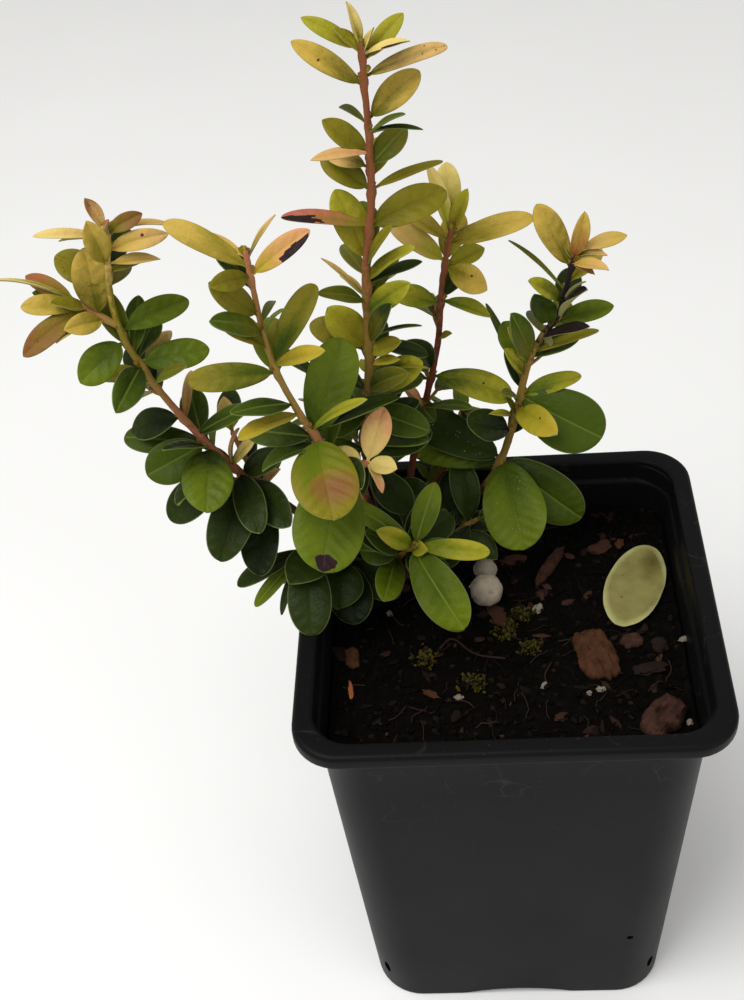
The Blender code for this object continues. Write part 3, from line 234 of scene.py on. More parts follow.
RIGHT_LEAVES = (
    (0.97, 20, 5, 10, 3.5, 0.6, "tan gold"), (0.94, 75, 0, 8, 4, 0.7, "rust gold"),
    (0.96, 15, 15, 6.5, 2, 0.3, "olive tan"), (0.94, -5, 25, 7, 3, 0.5, "gold tan"),
    (0.92, -20, 30, 4, 2, 0.5, "tan rust"), (0.98, 100, 10, 3.5, 1.5, 0.4, "peach tan"),
    (0.96, 120, -10, 10, 1, 0.1, "olive char"), (0.95, 120, 10, 3.5, 1.5, 0.3, "olive olive"),
    (0.90, 125, 10, 15, 6, 0.7, "moss gold"), (0.82, 135, -5, 16, 1, 0.1, "moss moss"),
    (0.79, 150, 10, 7, 3.5, 0.6, "green lime"), (0.69, 110, 25, 6.5, 5, 0.9, "green dark"),
    (0.78, 50, 10, 6, 0.5, 0.1, "char char"), (0.71, 60, 0, 8, 3, 0.4, "char char"),
    (0.69, 20, 5, 13, 4, 0.6, "green fresh"), (0.64, 120, -10, 7.5, 2.5, 0.5, "moss dark"),
    (0.60, 20, 15, 10, 2.5, 0.5, "char umber"), (0.54, 20, 0, 15, 2, 0.4, "olive lime"),
    (0.50, 125, -10, 11, 6.5, 0.8, "green fresh"), (0.53, 110, 10, 8, 5, 0.7, "moss green"),
    (0.48, 115, 25, 7.5, 3, 0.6, "fresh lime"), (0.44, 125, 10, 6.5, 3, 0.6, "moss lime"),
    (0.41, 115, -10, 20, 1.5, 0.1, "moss green"), (0.36, 20, 5, 14, 4, 0.6, "fresh lime"),
    (0.34, -30, 10, 20, 13.5, 1.0, "green green"), (0.29, -35, 35, 10, 6, 0.9, "lime yellow spot"),
    (0.26, 170, 30, 5.5, 1.5, 0.4, "olive lime"), (0.20, 170, 10, 9, 7, 0.9, "deep dark"),
    (0.25, 115, 15, 5, 2, 0.5, "moss moss"), (0.32, 130, 0, 8, 2, 0.3, "moss moss"),
    (0.05, -75, 20, 22, 14, 1.0, "green fresh dust"), (0.06, -40, 0, 23, 11.5, 1.0, "dark green"),
    (0.04, 160, 10, 23, 9, 0.8, "dark dark dust"), (0.01, 165, -15, 22, 7, 0.7, "dark fresh"),
)
STUB_LEAVES = (
    (1.00, 70, 25, 6.4, 3.2, 0.5, "green green"), (0.70, -45, 10, 8.0, 4.6, 0.6, "dark green"),
)
LOW_RIGHT_LEAVES = (
    (1.00, 25, 10, 14.5, 7.6, 0.7, "dark green"), (0.95, 235, 5, 13.0, 7.0, 0.8, "deep dark"),
    (0.90, 95, 10, 15.0, 8.0, 0.8, "dark dark"), (0.60, 330, 15, 12.0, 6.4, 0.6, "dark dark"),
    (0.15, 116, -4, 17.0, 8.4, 0.8, "deep dark"), (0.45, 84, -10, 16.0, 8.0, 0.8, "deep dark"),
)

# Each shoot as in the source, with how far its leaves run up the tint ramp, by the age of its tip and, on the
# low shoots, by painted shade, and its bark from trunk to tip.
SHOOTS = {
    "left": dict(
        height=104.0, bare=0.345, radii=(1.05, 0.5), leaves=LEFT_LEAVES, spiral=26, size=(18, 10.5),
        age_and_shade=6.0, bark="wood wood wood russet rose straw olive tan",
        route=((-31, 16, 106), (-46, 10, 128), (-60, 6, 150), (-70, 4.5, 173), (-72.5, 4.5, 187),
               (-71, 6.5, 203))),
    "mid_left": dict(
        height=109.0, bare=0.42, radii=(1.05, 0.45), leaves=MID_LEFT_LEAVES, spiral=18, size=(18, 13),
        age_and_shade=5.6, bark="wood wood straw rose straw straw rose",
        route=((-28, 10.5, 120), (-32, 0, 147), (-37, -2.5, 159), (-43, -2, 178), (-45, 1, 199.5))),
    "centre_right": dict(
        height=106.0, bare=0.39, radii=(0.95, 0.5), leaves=CENTRE_RIGHT_LEAVES, spiral=18, size=(16, 12),
        age_and_shade=6.0, bark="wood wood maroon maroon maroon russet russet",
        route=((-19, 26.5, 127), (-12.5, 30, 153.5), (-10.5, 30.5, 170), (-8, 29.5, 184))),
    "right": dict(
        height=101.5, bare=0.33, radii=(1.1, 0.5), leaves=RIGHT_LEAVES, spiral=22, size=(18, 11),
        age_and_shade=5.6, bark="wood wood wood straw straw straw straw char char char",
        route=((-19, 21.5, 104.5), (-8, 25.5, 112), (0.5, 27.5, 123), (8, 26.5, 155), (13, 26, 163),
               (16, 26, 177), (18, 26.5, 181))),
    "front": dict(
        height=102.0, bare=0.5, radii=(0.8, 0.5), leaves=FRONT_LEAVES, spiral=9, size=(15, 12),
        age_and_shade=2.4, bark="wood russet straw",
        route=((-25.4, 12.0, 107.0), (-22.8, 5.0, 117.0), (-18.6, -0.5, 125.0))),
    "low_front": dict(
        height=101.0, bare=0.35, radii=(0.8, 0.5), leaves=LOW_FRONT_LEAVES, spiral=10, size=(15, 12),
        age_and_shade=1.0, bark="wood wood straw",
        route=((-31.0, 12.5, 108.0), (-38.0, 6.0, 116.0), (-43.0, 4.5, 120.5))),
    "low_right": dict(
        height=103.0, bare=0.3, radii=(0.8, 0.5), leaves=LOW_RIGHT_LEAVES, spiral=12, size=(15, 12),
        age_and_shade=1.2, bark="wood wood straw",
        route=((-17.0, 18.5, 106.5), (-11.0, 18.0, 110.5), (-6.0, 18.5, 113.5))),
    "back_left": dict(
        height=105.0, bare=0.3, radii=(0.9, 0.5), leaves=(), spiral=26, size=(17, 10),
        age_and_shade=4.2, bark="wood russet rose",
        route=((-30.5, 25.0, 117.0), (-37.0, 32.0, 133.0), (-39.5, 35.0, 148.0))),
    "back_middle": dict(
        height=107.0, bare=0.3, radii=(0.9, 0.5), leaves=(), spiral=24, size=(17, 10),
        age_and_shade=3.6, bark="wood russet straw",
        route=((-24.5, 27.0, 118.0), (-25.0, 36.0, 130.0), (-25.5, 40.0, 141.0))),
    "back_right": dict(
        height=103.0, bare=0.3, radii=(0.9, 0.5), leaves=(), spiral=24, size=(17, 10),
        age_and_shade=3.2, bark="wood russet straw",
        route=((-18.0, 27.0, 110.0), (-11.0, 36.0, 120.0), (-7.0, 40.0, 130.0))),
}
LEADER = dict(
    radii=(1.3, 0.5), leaves=LEADER_LEAVES, spiral=28, size=(17, 11.5), age_and_shade=5.4,
    bark="wood wood straw straw russet russet russet russet",
    route=((-28.5, 16, 140), (-26, 16, 160), (-25, 17, 182), (-22.5, 19, 200), (-22, 19, 229)))
TWIGS = (
    ("left", 0.72, 150, 0, 9.0, LEFT_TIP_LEAVES),
    ("left", 0.02, 118, 25, 14.5, LOW_LEFT_LEAVES),
    ("mid_left", 0.03, 8, 15, 5.5, DRY_LEAVES),
    ("centre_right", 0.04, 128, 10, 6.5, STUB_LEAVES),
)
TWIG_RADII = (0.75, 0.5)
TWIG_SAG = 0.06
ORDER = ("mid_left", "front", "low_front", "leader", "left", "centre_right", "right", "low_right",
         "back_left", "back_middle", "back_right")

# What lies on the soil, as in the source.
BEADS = ((-4, 8.5, 3.7), (-4, 16, 2.8))
FALLEN_LEAF = dict(middle=(30, 11), length=26.5, width=13, turn=70, thick=0.6)
CHIPS = (
    (19.5, -9.5, 15, 8.5, 2.2, 105), (32, -27.5, 12.5, 7.5, 2.6, 50), (11, 18.5, 14.5, 3, 1.8, 60),
    (27.5, -5.5, 5, 4, 1.3, 20), (33.5, -7, 4.5, 3.5, 1.2, 100), (-34.5, -7.5, 6, 3.5, 1.4, 100),
)

# Where the soil is level: middle x, y and radius of each thing that stands on it.
SPOTS = ((TRUNK_FOOT.x, TRUNK_FOOT.y, FLARE_RADIUS + 1), *BEADS,
         *((x, y, length / 2) for x, y, length, *_ in CHIPS),
         (*FALLEN_LEAF["middle"], FALLEN_LEAF["length"] / 2))

# Looks of the soil: its grid, how many small things lie on it, and their least and most sizes.
BED_STEPS = 22
BED_RINGS = 56
CRUMBS = 2400
CRUMB_LEAST = 0.5
CRUMB_SPREAD = 1.7
FIBRES = 200
FIBRE_POINTS = 6
FIBRE_STEP = (0.6, 1.7)
FIBRE_RADIUS = (0.07, 0.2)
THREAD_RADIUS = 0.28
FLAKES = 150
FLAKE_SIZE = (1.2, 3.6)
SPRIGS = 90
SPRIG_SIZE = (0.9, 1.9)
CHIP_TONES = ("sienna", "cocoa", "cocoa", "cocoa", "umber", "sienna")

# Brown specks on the fallen leaf: place along and beside its middle, and size.
FALLEN_SPECKS = ((9.5, 2.6, 1.0), (2.0, 3.4, 0.7), (-4.5, 2.0, 0.8), (3.0, -2.5, 0.5))

# Small things seen on the soil: middle x and y, length, width, thickness, turn and tone.
BITS = (
    (-1.5, 3.5, 9, 4, 1.0, 120, "cocoa"), (-36, -6.5, 7, 3.5, 0.8, 150, "umber"),
    (23.5, 25, 6, 3.5, 1.0, 20, "cocoa"), (28, 25.5, 3, 2, 0.9, 80, "sienna"),
    (30.5, -13.5, 7, 3.5, 0.9, 10, "umber"), (2.5, 21.5, 6, 3, 0.9, 10, "cocoa"),
    (-17, -18, 4, 1.5, 0.7, 150, "sienna"), (-34.5, -16.5, 4.5, 1, 0.6, 95, "rust"),
    (7.5, 5.5, 2.5, 2, 1.3, 60, "grit"), (39, -5.5, 2.5, 1.2, 0.8, 20, "grit"),
    (19.5, -18.5, 2, 1.5, 1.0, 0, "grit"), (17, -19.5, 1.3, 1, 0.8, 0, "grit"),
    (7.5, -17, 2.5, 1, 0.7, 60, "grit"), (-26.5, 5.5, 1.7, 1.5, 1.2, 0, "grit"),
    (-11, -20, 1.8, 1.5, 1.0, 0, "grit"), (37, -28.5, 1.6, 1.2, 0.9, 90, "grit"),
    (-6.5, 13, 2.5, 1.5, 1.3, 20, "bead"), (8.5, 9.5, 3, 1.3, 1.0, 100, "cocoa"),
)
TUFTS = ((-7.5, -16, 3.2), (-18, -8.5, 2.8), (0, -0.5, 3.4), (5.5, -6, 3), (3.5, 4, 2.8))
THREAD = ((-15, -6), (-12, -3), (-7, -8), (-0.5, -9.5))

# Plain tones, as display values from 0 to 255. Deep and dark are partly painted shade: the leaves' own dark
# green, taken darker for the shade low and deep in the plant.
TONES = {
    "deep": (22, 32, 6), "dark": (38, 50, 8), "green": (62, 78, 10), "fresh": (92, 106, 18),
    "bright": (92, 106, 10), "moss": (94, 90, 16), "olive": (122, 112, 24), "lime": (152, 146, 36),
    "yellow": (170, 148, 42), "gold": (184, 155, 66), "cream": (214, 190, 110), "tan": (202, 164, 98),
    "peach": (206, 148, 100), "pink": (176, 92, 78), "rust": (150, 88, 50), "brown": (124, 84, 42),
    "plum": (40, 22, 26), "char": (38, 28, 26), "rib": (112, 126, 54), "edge": (104, 114, 66),
    "pale": (150, 146, 96), "wood": (62, 44, 30), "russet": (132, 80, 50), "rose": (166, 104, 78),
    # Peat, humus, umber, cocoa, sienna, bead and fall are partly painted shade: their own colours taken
    # darker for the shade of the plant and the rim over the soil.
    "maroon": (98, 48, 32), "straw": (140, 114, 54), "peat": (5, 4, 3), "humus": (11, 8, 6),
    "umber": (32, 23, 18), "cocoa": (62, 39, 31), "sienna": (68, 41, 25), "grit": (120, 112, 100),
    "bead": (168, 156, 136), "fall": (130, 123, 69), "stain": (92, 84, 34), "rim": (160, 158, 104),
    "thread": (48, 34, 32), "tuft": (34, 32, 12), "floor": (252, 252, 251),
    "plastic": (15, 15, 16), "scuff": (38, 38, 37),
}
# The tint ramp: its dark end is partly painted shade on low leaves, its yellow end the old tips.
RAMP = ("deep", "dark", "green", "fresh", "olive", "lime", "gold")
DARK_TONES = ("deep", "dark", "green", "bright", "moss")
TONE_STEPS = 8

# Blades: their outline's powers, rows a millimetre, widths of ridge and margin, and how they bend.
OUTLINE_RISE = 0.5
OUTLINE_FALL = 2.2
POINTED = 0.8
BLUNT = 0.5
SLIM_TIP = 0.8
SLIM_FROM = (0.75, 0.95)
ROWS_PER_MM = 1.5
RIB_HALF = 0.2
EDGE_WIDE = 0.2
VEIN_STEP = 2.6
VEIN_RISE = 0.1
FOLD = (0.1, 0.42)
YOUNG_FOLD = 0.2
MARGIN_DROP = 0.14
GROOVE = 0.16
RIPPLE = 0.06
TWIST = 0.3
CURL = (-0.15, 0.01)
BEND = 0.05
STALK = 1.5
BLADE_THICK = 0.34
PAINTED = ("blotch", "burnt", "bruise", "patch")

# Marks on a blade: middle along and across it, and reach along and across it, as shares.
MARKS = {
    "blotch": (0.74, 0.8, 0.26, 0.6), "bruise": (0.94, -0.1, 0.08, 0.5), "patch": (0.7, -0.3, 0.18, 0.7),
}

# Dark leaves low on the limbs, their dark tones partly painted shade, fine side twigs, bark and buds.
FILL_COUNT = 18
FILL_SIZE = (16.5, 14.0)
FILL_LEFT = -46.0
FILL_LOOKS = ("deep dark", "dark dark", "dark green")
NEAR_LEAF = 3.2
CUSHION = 0.42
BARK_RIDGE = 0.06
TWIGLETS = 6
TWIGLET_FOOT = 0.08
TWIGLET_STEP = 0.13
TWIGLET_RADII = (0.42, 0.26)
TWIGLET_LENGTH = (3.5, 6.5)
TWIGLET_LEAVES = 5
TWIGLET_LEAF = (5.0, 7.5)
BUD_SHARE = 0.55
SIDE_BUD = (1.1, 1.9)
END_BUD = 1.3

# The stage: half the floor, lamps with their place, size and power, and the pale surround.
FLOOR_HALF = 3000
LAMPS = {"key": ((-350, -250, 900), 600, 6.5), "fill": ((600, -500, 500), 500, 1)}
LAMPS_AIM = Vector((0, 0, 120))
SURROUND = (1.0, 0.99, 0.97, 1)
SURROUND_STRENGTH = 0.5


def turned(way, axis, angle):
    """A direction turned about an axis."""
    found = way.normalized()
    found.rotate(Matrix.Rotation(angle, 3, axis))
    return found


def view_frame(point):
    """Right, up and toward the view point, as seen from there at the given point."""
    toward = (VIEW_POINT - point).normalized()
    right = (VIEW_RIGHT - VIEW_RIGHT.dot(toward) * toward).normalized()
    return right, toward.cross(right), toward


def seen_direction(point, clock, toward_angle):
    right, up, toward = view_frame(point)
    clock, tip = math.radians(clock), math.radians(toward_angle)
    flat = math.cos(clock) * right + math.sin(clock) * up
    return (math.cos(tip) * flat + math.sin(tip) * toward).normalized()


def real_leaf(place, clock, toward, length, width, face, usual):
    """Direction, tip, length, width and face of the leaf that a row shows as it is seen."""
    seen = length * math.cos(math.radians(toward))
    if usual and place < YOUNG_FROM:
        full = usual[0] + (usual[1] - usual[0]) * place
        if seen < SHORT_SHARE * full:
            tip = min(math.degrees(math.acos(seen / full)), MOST_TIP)
            points_up = math.sin(math.radians(clock)) > POINTS_UP
            toward = -tip if points_up and toward < 0 else tip
            length = seen / math.cos(math.radians(tip))
    shown = EDGE_ON + (1 - EDGE_ON) * face
    return clock, toward, length, max(width, min(width / shown, WIDEST * length)), face


def lofted(rings):
    """Vertices and faces of a closed skin through rings of equal count; a ring of one point is an end."""
    vertices = [Vector(p) for ring in rings for p in ring]
    starts = [sum(len(r) for r in rings[:i]) for i in range(len(rings))]
    faces = []
    for ring, after, a, b in zip(rings, rings[1:], starts, starts[1:]):
        count = max(len(ring), len(after))
        for i in range(count):
            j = (i + 1) % count
            if len(after) == 1:
                faces.append((a + i, a + j, b))
            elif len(ring) == 1:
                faces.append((a, b + j, b + i))
            else:
                faces.append((a + i, a + j, b + j, b + i))
    if len(rings[0]) > 1:
        faces.append(tuple(reversed(range(len(rings[0])))))
    if len(rings[-1]) > 1:
        faces.append(tuple(range(starts[-1], starts[-1] + len(rings[-1]))))
    return vertices, faces


def smooth_route(points, step=STEM_STEP):
    """Points about one step apart on a Catmull-Rom curve through the given points."""
    points = [Vector(p) for p in points]
    padded = [2 * points[0] - points[1], *points, 2 * points[-1] - points[-2]]
    found = [points[0]]
    for a, b, c, d in zip(padded, padded[1:], padded[2:], padded[3:]):
        count = max(1, round((c - b).length / step))
        for i in range(1, count + 1):
            t = i / count
            found.append(0.5 * (2 * b + (c - a) * t + (2 * a - 5 * b + 4 * c - d) * t * t
                                + (3 * b - a - 3 * c + d) * t ** 3))
    return found


def lengths_along(points):
    found = [0.0]
    for a, b in zip(points, points[1:]):
        found.append(found[-1] + (b - a).length)
    return found


def at_share(points, share):
    """The point and direction at a share of a path's length."""
    marks = lengths_along(points)
    target = share * marks[-1]
    i = min(max(k for k, mark in enumerate(marks) if mark <= target + 1e-9), len(points) - 2)
    along = (target - marks[i]) / (marks[i + 1] - marks[i])
    return points[i].lerp(points[i + 1], along), (points[i + 1] - points[i]).normalized()


def part_of(points, start, end):
    """The stretch of a path between two shares of its length."""
    marks = lengths_along(points)
    inner = [p for p, mark in zip(points, marks) if start + 0.02 < mark / marks[-1] < end - 0.02]
    return [at_share(points, start)[0], *inner, at_share(points, end)[0]]


def tapered(points, first, last):
    marks = lengths_along(points)
    return [first + (last - first) * mark / marks[-1] for mark in marks]


def tube_rings(points, radii, sides):
    """Rings of points round a path, carried along it without twisting."""
    rings = []
    across = (points[1] - points[0]).orthogonal().normalized()
    for i, (point, radius) in enumerate(zip(points, radii)):
        axis = (points[min(i + 1, len(points) - 1)] - points[max(i - 1, 0)]).normalized()
        across = (across - across.dot(axis) * axis).normalized()
        other = axis.cross(across)
        turns = [math.tau * k / sides for k in range(sides)]
        rings.append([point + (across * math.cos(t) + other * math.sin(t)) * radius for t in turns])
    return rings


class Leaf:
    """One blade: where it is rooted, where it points, its size, and the way its upper face looks."""

    def __init__(self, root, along, stem, length, width, face=0.0):
        self.root = root - along * ROOT_DEPTH
        self.along = along
        self.length = length
        self.width = width
        self.look = ""
        upper = (stem - stem.dot(along) * along).normalized()
        toward = view_frame(root)[2]
        facing = (toward - toward.dot(along) * along).normalized()
        self.upper = upper.lerp(facing, face).normalized()

    def points(self, *shares):
        return [self.root + self.along * self.length * share for share in shares]

    def skin(self, start=0.0, spare=0.0):
        """Vertices and faces from a share of the length to the tip, widened by spare all round."""
        side = self.along.cross(self.upper)
        rings = []
        for place, share in LEAF_STATIONS:
            if place < start:
                continue
            rise = LEAF_ARCH * self.length * (place - 1.6 * place * place)
            middle = self.root + self.along * place * self.length + self.upper * rise
            half = 0.5 * self.width * share + spare
            top = middle + self.upper * spare
            keel = middle - self.upper * (LEAF_THICK + spare)
            rings.append((top + side * half, top - side * half, keel))
        drop = -0.6 * LEAF_ARCH * self.length
        rings.append((self.root + self.along * (self.length + spare) + self.upper * drop,))
        return lofted(rings)

    def tree(self, start=0.0, spare=LEAF_CLEAR):
        return BVHTree.FromPolygons(*self.skin(start, spare))


class Crown:
    """Keeps every stem and blade set so far, so that a new leaf can be tested against them."""

    def __init__(self):
        self.limbs = []
        self.blades = []

    def add_limb(self, owner, points, radii, sides=6):
        rings = tube_rings(points, radii, sides)
        self.limbs.append((owner, BVHTree.FromPolygons(*lofted(rings))))

    def is_free(self, leaf, mass):
        whole = leaf.tree()
        outer = leaf.tree(OUTER_FROM)
        for owner, tree in self.limbs:
            if owner != mass and whole.overlap(tree):
                return False
        for owner, full, tip in self.blades:
            if owner != mass and whole.overlap(full):
                return False
            if owner == mass and outer.overlap(tip):
                return False
        return True

    def keep(self, leaf, mass):
        self.blades.append((mass, leaf.tree(0.0, 0.0), leaf.tree(OUTER_FROM, 0.0)))
        return leaf

    def settle(self, mass, root, stem, shape):
        """A leaf of this shape, tipped or shrunk a little where that keeps it off the others."""
        clock, toward, length, width, face = shape
        for turn, tip, scale in NUDGES:
            along = seen_direction(root, clock + turn, toward + tip)
            leaf = Leaf(root, along, stem, length * scale, width * scale, face)
            if self.is_free(leaf, mass):
                return self.keep(leaf, mass)
        return self.keep(Leaf(root, seen_direction(root, clock, toward), stem, length, width, face), mass)

    def add_spiral(self, mass, stem, count, sizes, chance, left=DENSE_LEFT):
        """Leaves set round a stem by the golden angle, on the side turned away from the view."""
        found = []
        turn = chance.uniform(0, math.tau)
        for k in range(count):
            turn += math.radians(GOLDEN_ANGLE)
            share = SPIRAL_FOOT + (1 - 2 * SPIRAL_FOOT) * (k + 0.5) / count
            root, axis = at_share(stem, share)
            flat = turned(axis.orthogonal(), axis, turn)
            rise = math.radians(chance.uniform(*SPIRAL_RISE))
            along = (math.cos(rise) * flat + math.sin(rise) * axis).normalized()
            usual = sizes[0] + (sizes[1] - sizes[0]) * share
            length = SPIRAL_SCALE * usual + chance.uniform(-SPIRAL_VARY, SPIRAL_VARY)
            leaf = Leaf(root, along, axis, length, SPIRAL_WIDTH * length)
            if stays_clear(leaf) and self.is_free(leaf, mass) and self.fits_behind(leaf, left):
                found.append((self.keep(leaf, mass), share))
        return found

    def fits_behind(self, leaf, left=DENSE_LEFT):
        """True for a blade behind others as the view point sees it, or low among the shoots' feet."""
        in_front = 0
        seen = 0
        for point in leaf.points(0.35, 0.6, 0.8, 1.0):
            ray = VIEW_POINT - point
            covered = self.is_hit(point, ray)
            seen += not covered
            in_front += not covered and self.is_hit(point, -ray)
        turned_away = leaf.along.dot(view_frame(leaf.root)[2]) < TURNED_AWAY
        return in_front < 2 and (seen < 2 or turned_away or is_low(leaf, left))

    def is_hit(self, point, ray):
        return any(full.ray_cast(point, ray.normalized(), ray.length)[0] for _, full, _ in self.blades)


def is_low(leaf, left):
    """True where the whole blade is seen within the dense foliage round the shoots' feet."""
    right, up, _ = view_frame(TRUNK_FOOT)
    for point in leaf.points(0.5, 1.0):
        offset = point - TRUNK_FOOT
        if not (left < offset.dot(right) < DENSE_RIGHT and offset.dot(up) < DENSE_TOP):
            return False
    return True


def stays_clear(leaf):
    """True where a blade keeps above the soil and the pot's rim."""
    for point in leaf.points(0.5, 1.0):
        near_rim = max(abs(point.x), abs(point.y)) > BODY_TOP_HALF - RIM_REACH
        if point.z < (POT_HEIGHT + OVER_RIM if near_rim else SOIL_TOP + OVER_SOIL):
            return False
    return True


def linear(colour):
    """A display colour from 0 to 255 as linear light."""
    shares = [c / 255 for c in colour]
    return [c / 12.92 if c < 0.04045 else ((c + 0.055) / 1.055) ** 2.4 for c in shares]


def between(a, b, share):
    return [p + (q - p) * share for p, q in zip(a, b)]


class Surface:
    """A material being made: its shader, and nodes fed by the object's own coordinates."""

    def __init__(self, name):
        self.material = bpy.data.materials.new(name)
        self.material.use_nodes = True
        self.tree = self.material.node_tree
        self.shader = self.tree.nodes["Principled BSDF"]
        self.place = self.node("TexCoord").outputs["Object"]

    def feed(self, socket, value):
        if isinstance(value, bpy.types.NodeSocket):
            self.tree.links.new(value, socket)
        else:
            socket.default_value = value

    def set(self, made, **inputs):
        """Each named input takes a value or another node's output."""
        for name, value in inputs.items():
            self.feed(made.inputs[name.replace("_", " ")], value)

    def node(self, kind, **inputs):
        made = self.tree.nodes.new("ShaderNode" + kind)
        self.set(made, **inputs)
        return made

    def cloud(self, scale, detail, output="Fac"):
        return self.node("TexNoise", Vector=self.place, Scale=scale, Detail=detail).outputs[output]

    def spread(self, value, low, high, to_low=0.0, to_high=1.0):
        """A value from low to high, taken to another range and kept within it."""
        made = self.node("MapRange", Value=value, From_Min=low, From_Max=high, To_Min=to_low, To_Max=to_high)
        return made.outputs["Result"]

    def combine(self, kind, operation, *values):
        made = self.node(kind)
        made.operation = operation
        for socket, value in zip(made.inputs, values):
            self.feed(socket, value)
        return made.outputs[0]

    def finish(self, colour, gloss, specular, fine, detail, bump):
        """Feeds the shader, with a fine relief, and gives the material."""
        relief = self.node("Bump", Height=self.cloud(fine, detail), Strength=bump, Distance=RELIEF_DEPTH)
        self.set(self.shader, Base_Color=colour, Roughness=gloss, Specular_IOR_Level=specular,
                 Normal=relief.outputs["Normal"])
        return self.material


def finished(name, colour, contrast, grain, roughness, specular, bump, fine):
    """A finish with uneven gloss and a fine relief; its colour drifts too where contrast is above 0."""
    made = Surface(name)
    drift = made.cloud(grain, 4.0)
    base = (*colour, 1)
    if contrast:
        ramp = made.node("ValToRGB", Fac=drift)
        for stop, place, gain in zip(ramp.color_ramp.elements, DRIFT_RANGE, (1 - contrast, 1 + contrast)):
            stop.position = place
            stop.color = (*(min(1.0, c * gain) for c in colour), 1)
        base = ramp.outputs["Color"]
    gloss = made.spread(drift, *DRIFT_RANGE, roughness - GLOSS_DRIFT, min(1.0, roughness + GLOSS_DRIFT))
    return made.finish(base, gloss, specular, fine, 3.0, bump)


RELIEF_DEPTH = 0.0002
DRIFT_RANGE = (0.3, 0.7)
GLOSS_DRIFT = 0.08

# How each kind of surface takes a tone: contrast, grain per metre, roughness, specular, bump, fine grain.
KINDS = {
    "leaf": (0, 240, 0.44, 0.11, 0.8, 1500),
    "under": (0, 300, 0.62, 0.1, 0.3, 3000),
    "bark": (0, 900, 0.72, 0.12, 0.8, 2400),
    "earth": (0, 500, 0.9, 0.05, 0.9, 2600),
    "chip": (0, 420, 0.85, 0.08, 0.9, 1800),
    "bed": (0.5, 400, 0.9, 0.05, 0.9, 2200),
    "flake": (0.4, 420, 0.8, 0.1, 0.9, 1800),
    "fallen": (0.2, 190, 0.5, 0.2, 0.2, 2000),
    "bead": (0.12, 420, 0.6, 0.3, 0.5, 2400),
    "floor": (0.01, 8, 0.9, 0.1, 0.05, 400),
}
FINISHES = {}


def finish(kind, foot, tip=None, step=0):
    """The one material of this kind for a step between two tones."""
    tip = tip or foot
    if step == TONE_STEPS or foot == tip:
        foot, tip, step = tip, tip, 0
    name = f"{kind}_{foot}" if step == 0 else f"{kind}_{foot}_{tip}_{step}"
    if name not in FINISHES:
        colour = between(linear(TONES[foot]), linear(TONES[tip]), step / TONE_STEPS)
        FINISHES[name] = finished(name, colour, *KINDS[kind])
    return name


class Pool:
    """Gathers the vertices, faces and finishes of one kind of thing, and makes one piece of them."""

    def __init__(self):
        self.points = []
        self.faces = []
        self.names = []
        self.count = 0

    def add(self, points, faces, names):
        """names is one finish for all the faces, or one for each."""
        self.points += [tuple(p) for p in points]
        self.faces += [tuple(i + self.count for i in face) for face in faces]
        self.names += [names] * len(faces) if isinstance(names, str) else names
        self.count += len(points)

    def piece(self, name, slot, *nodes, sharp=None):
        mesh = bpy.data.meshes.new(name)
        mesh.from_pydata([Vector(p) * MM for p in self.points], [], self.faces)
        used = sorted(set(self.names))
        for key in used:
            mesh.materials.append(FINISHES[key])
        places = {key: i for i, key in enumerate(used)}
        mesh.polygons.foreach_set("material_index", [places[key] for key in self.names])
        mesh.shade_smooth()
        if sharp:
            mesh.set_sharp_from_angle(angle=math.radians(sharp))
        made = bpy.data.objects.new(name, mesh)
        bpy.context.scene.collection.objects.link(made)
        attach(made, "root")
        if nodes:
            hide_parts(*nodes)
        return made


def blade_half(leaf, u, chance):
    """Half the width at each share of the length: a thin stalk, then an outline that rises and closes."""
    stalk = min(0.16, STALK / leaf.length)
    blunt = float(np.interp(leaf.length, (8, 17), (POINTED, BLUNT))) + chance.uniform(-0.06, 0.06)
    body = np.clip((u - stalk) / (1 - stalk), 0, 1)
    peak_at = (OUTLINE_RISE / (OUTLINE_RISE + OUTLINE_FALL * blunt)) ** (1 / OUTLINE_FALL)
    peak = peak_at ** OUTLINE_RISE * (1 - peak_at ** OUTLINE_FALL) ** blunt
    half = 0.5 * leaf.width * (body ** OUTLINE_RISE * (1 - body ** OUTLINE_FALL) ** blunt / peak)
    return np.maximum(half, np.where(u > 0.9, 0.12, min(0.36, 0.1 + 0.07 * leaf.width)))


def blade_lift(leaf, u, c, half, rib, chance):
    """Height over the sheet: its fold, turned-down margin, grooved midrib, side veins and a ripple."""
    x, away = c * half, np.abs(c)
    young = float(np.interp(leaf.length, (7, 16), (1, 0)))
    z = (chance.uniform(*FOLD) + YOUNG_FOLD * young) * np.abs(x)
    z -= MARGIN_DROP * half * np.clip((away - 0.5) / 0.5, 0, 1) ** 2
    z -= GROOVE * (1 - 0.6 * u) * (away < 0.5 * rib)
    along_vein = (u * leaf.length - 0.8 * np.abs(x)) / VEIN_STEP
    z += VEIN_RISE * min(1.6, leaf.width / 6) * np.cos(math.tau * along_vein) * np.sin(math.pi * away)
    ripple = chance.uniform(-RIPPLE, RIPPLE) * leaf.width
    z += ripple * c * away * np.sin(math.tau * (1.4 * u + chance.random()))
    return z


def two_sided(pool, top, under, names, below):
    """A closed sheet between two grids of points: names finish its top, and below its rest."""
    rows, columns = top.shape[0], top.shape[1]
    size = rows * columns
    a = (np.arange(rows - 1)[:, None] * columns + np.arange(columns - 1)).reshape(-1)
    upper = np.stack([a, a + 1, a + 1 + columns, a + columns], 1)
    lower = upper[:, ::-1] + size
    around = [*range(columns), *range(2 * columns - 1, size, columns),
              *range(size - 2, size - columns - 1, -1), *range(size - 2 * columns, 0, -columns)]
    around = np.array(around)
    after = np.roll(around, -1)
    rim = np.stack([around, around + size, after + size, after], 1)
    points = np.concatenate([top.reshape(-1, 3), under.reshape(-1, 3)])
    faces = np.concatenate([upper, lower, rim])
    pool.add(points, faces.tolist(), names + [below] * (len(faces) - len(names)))


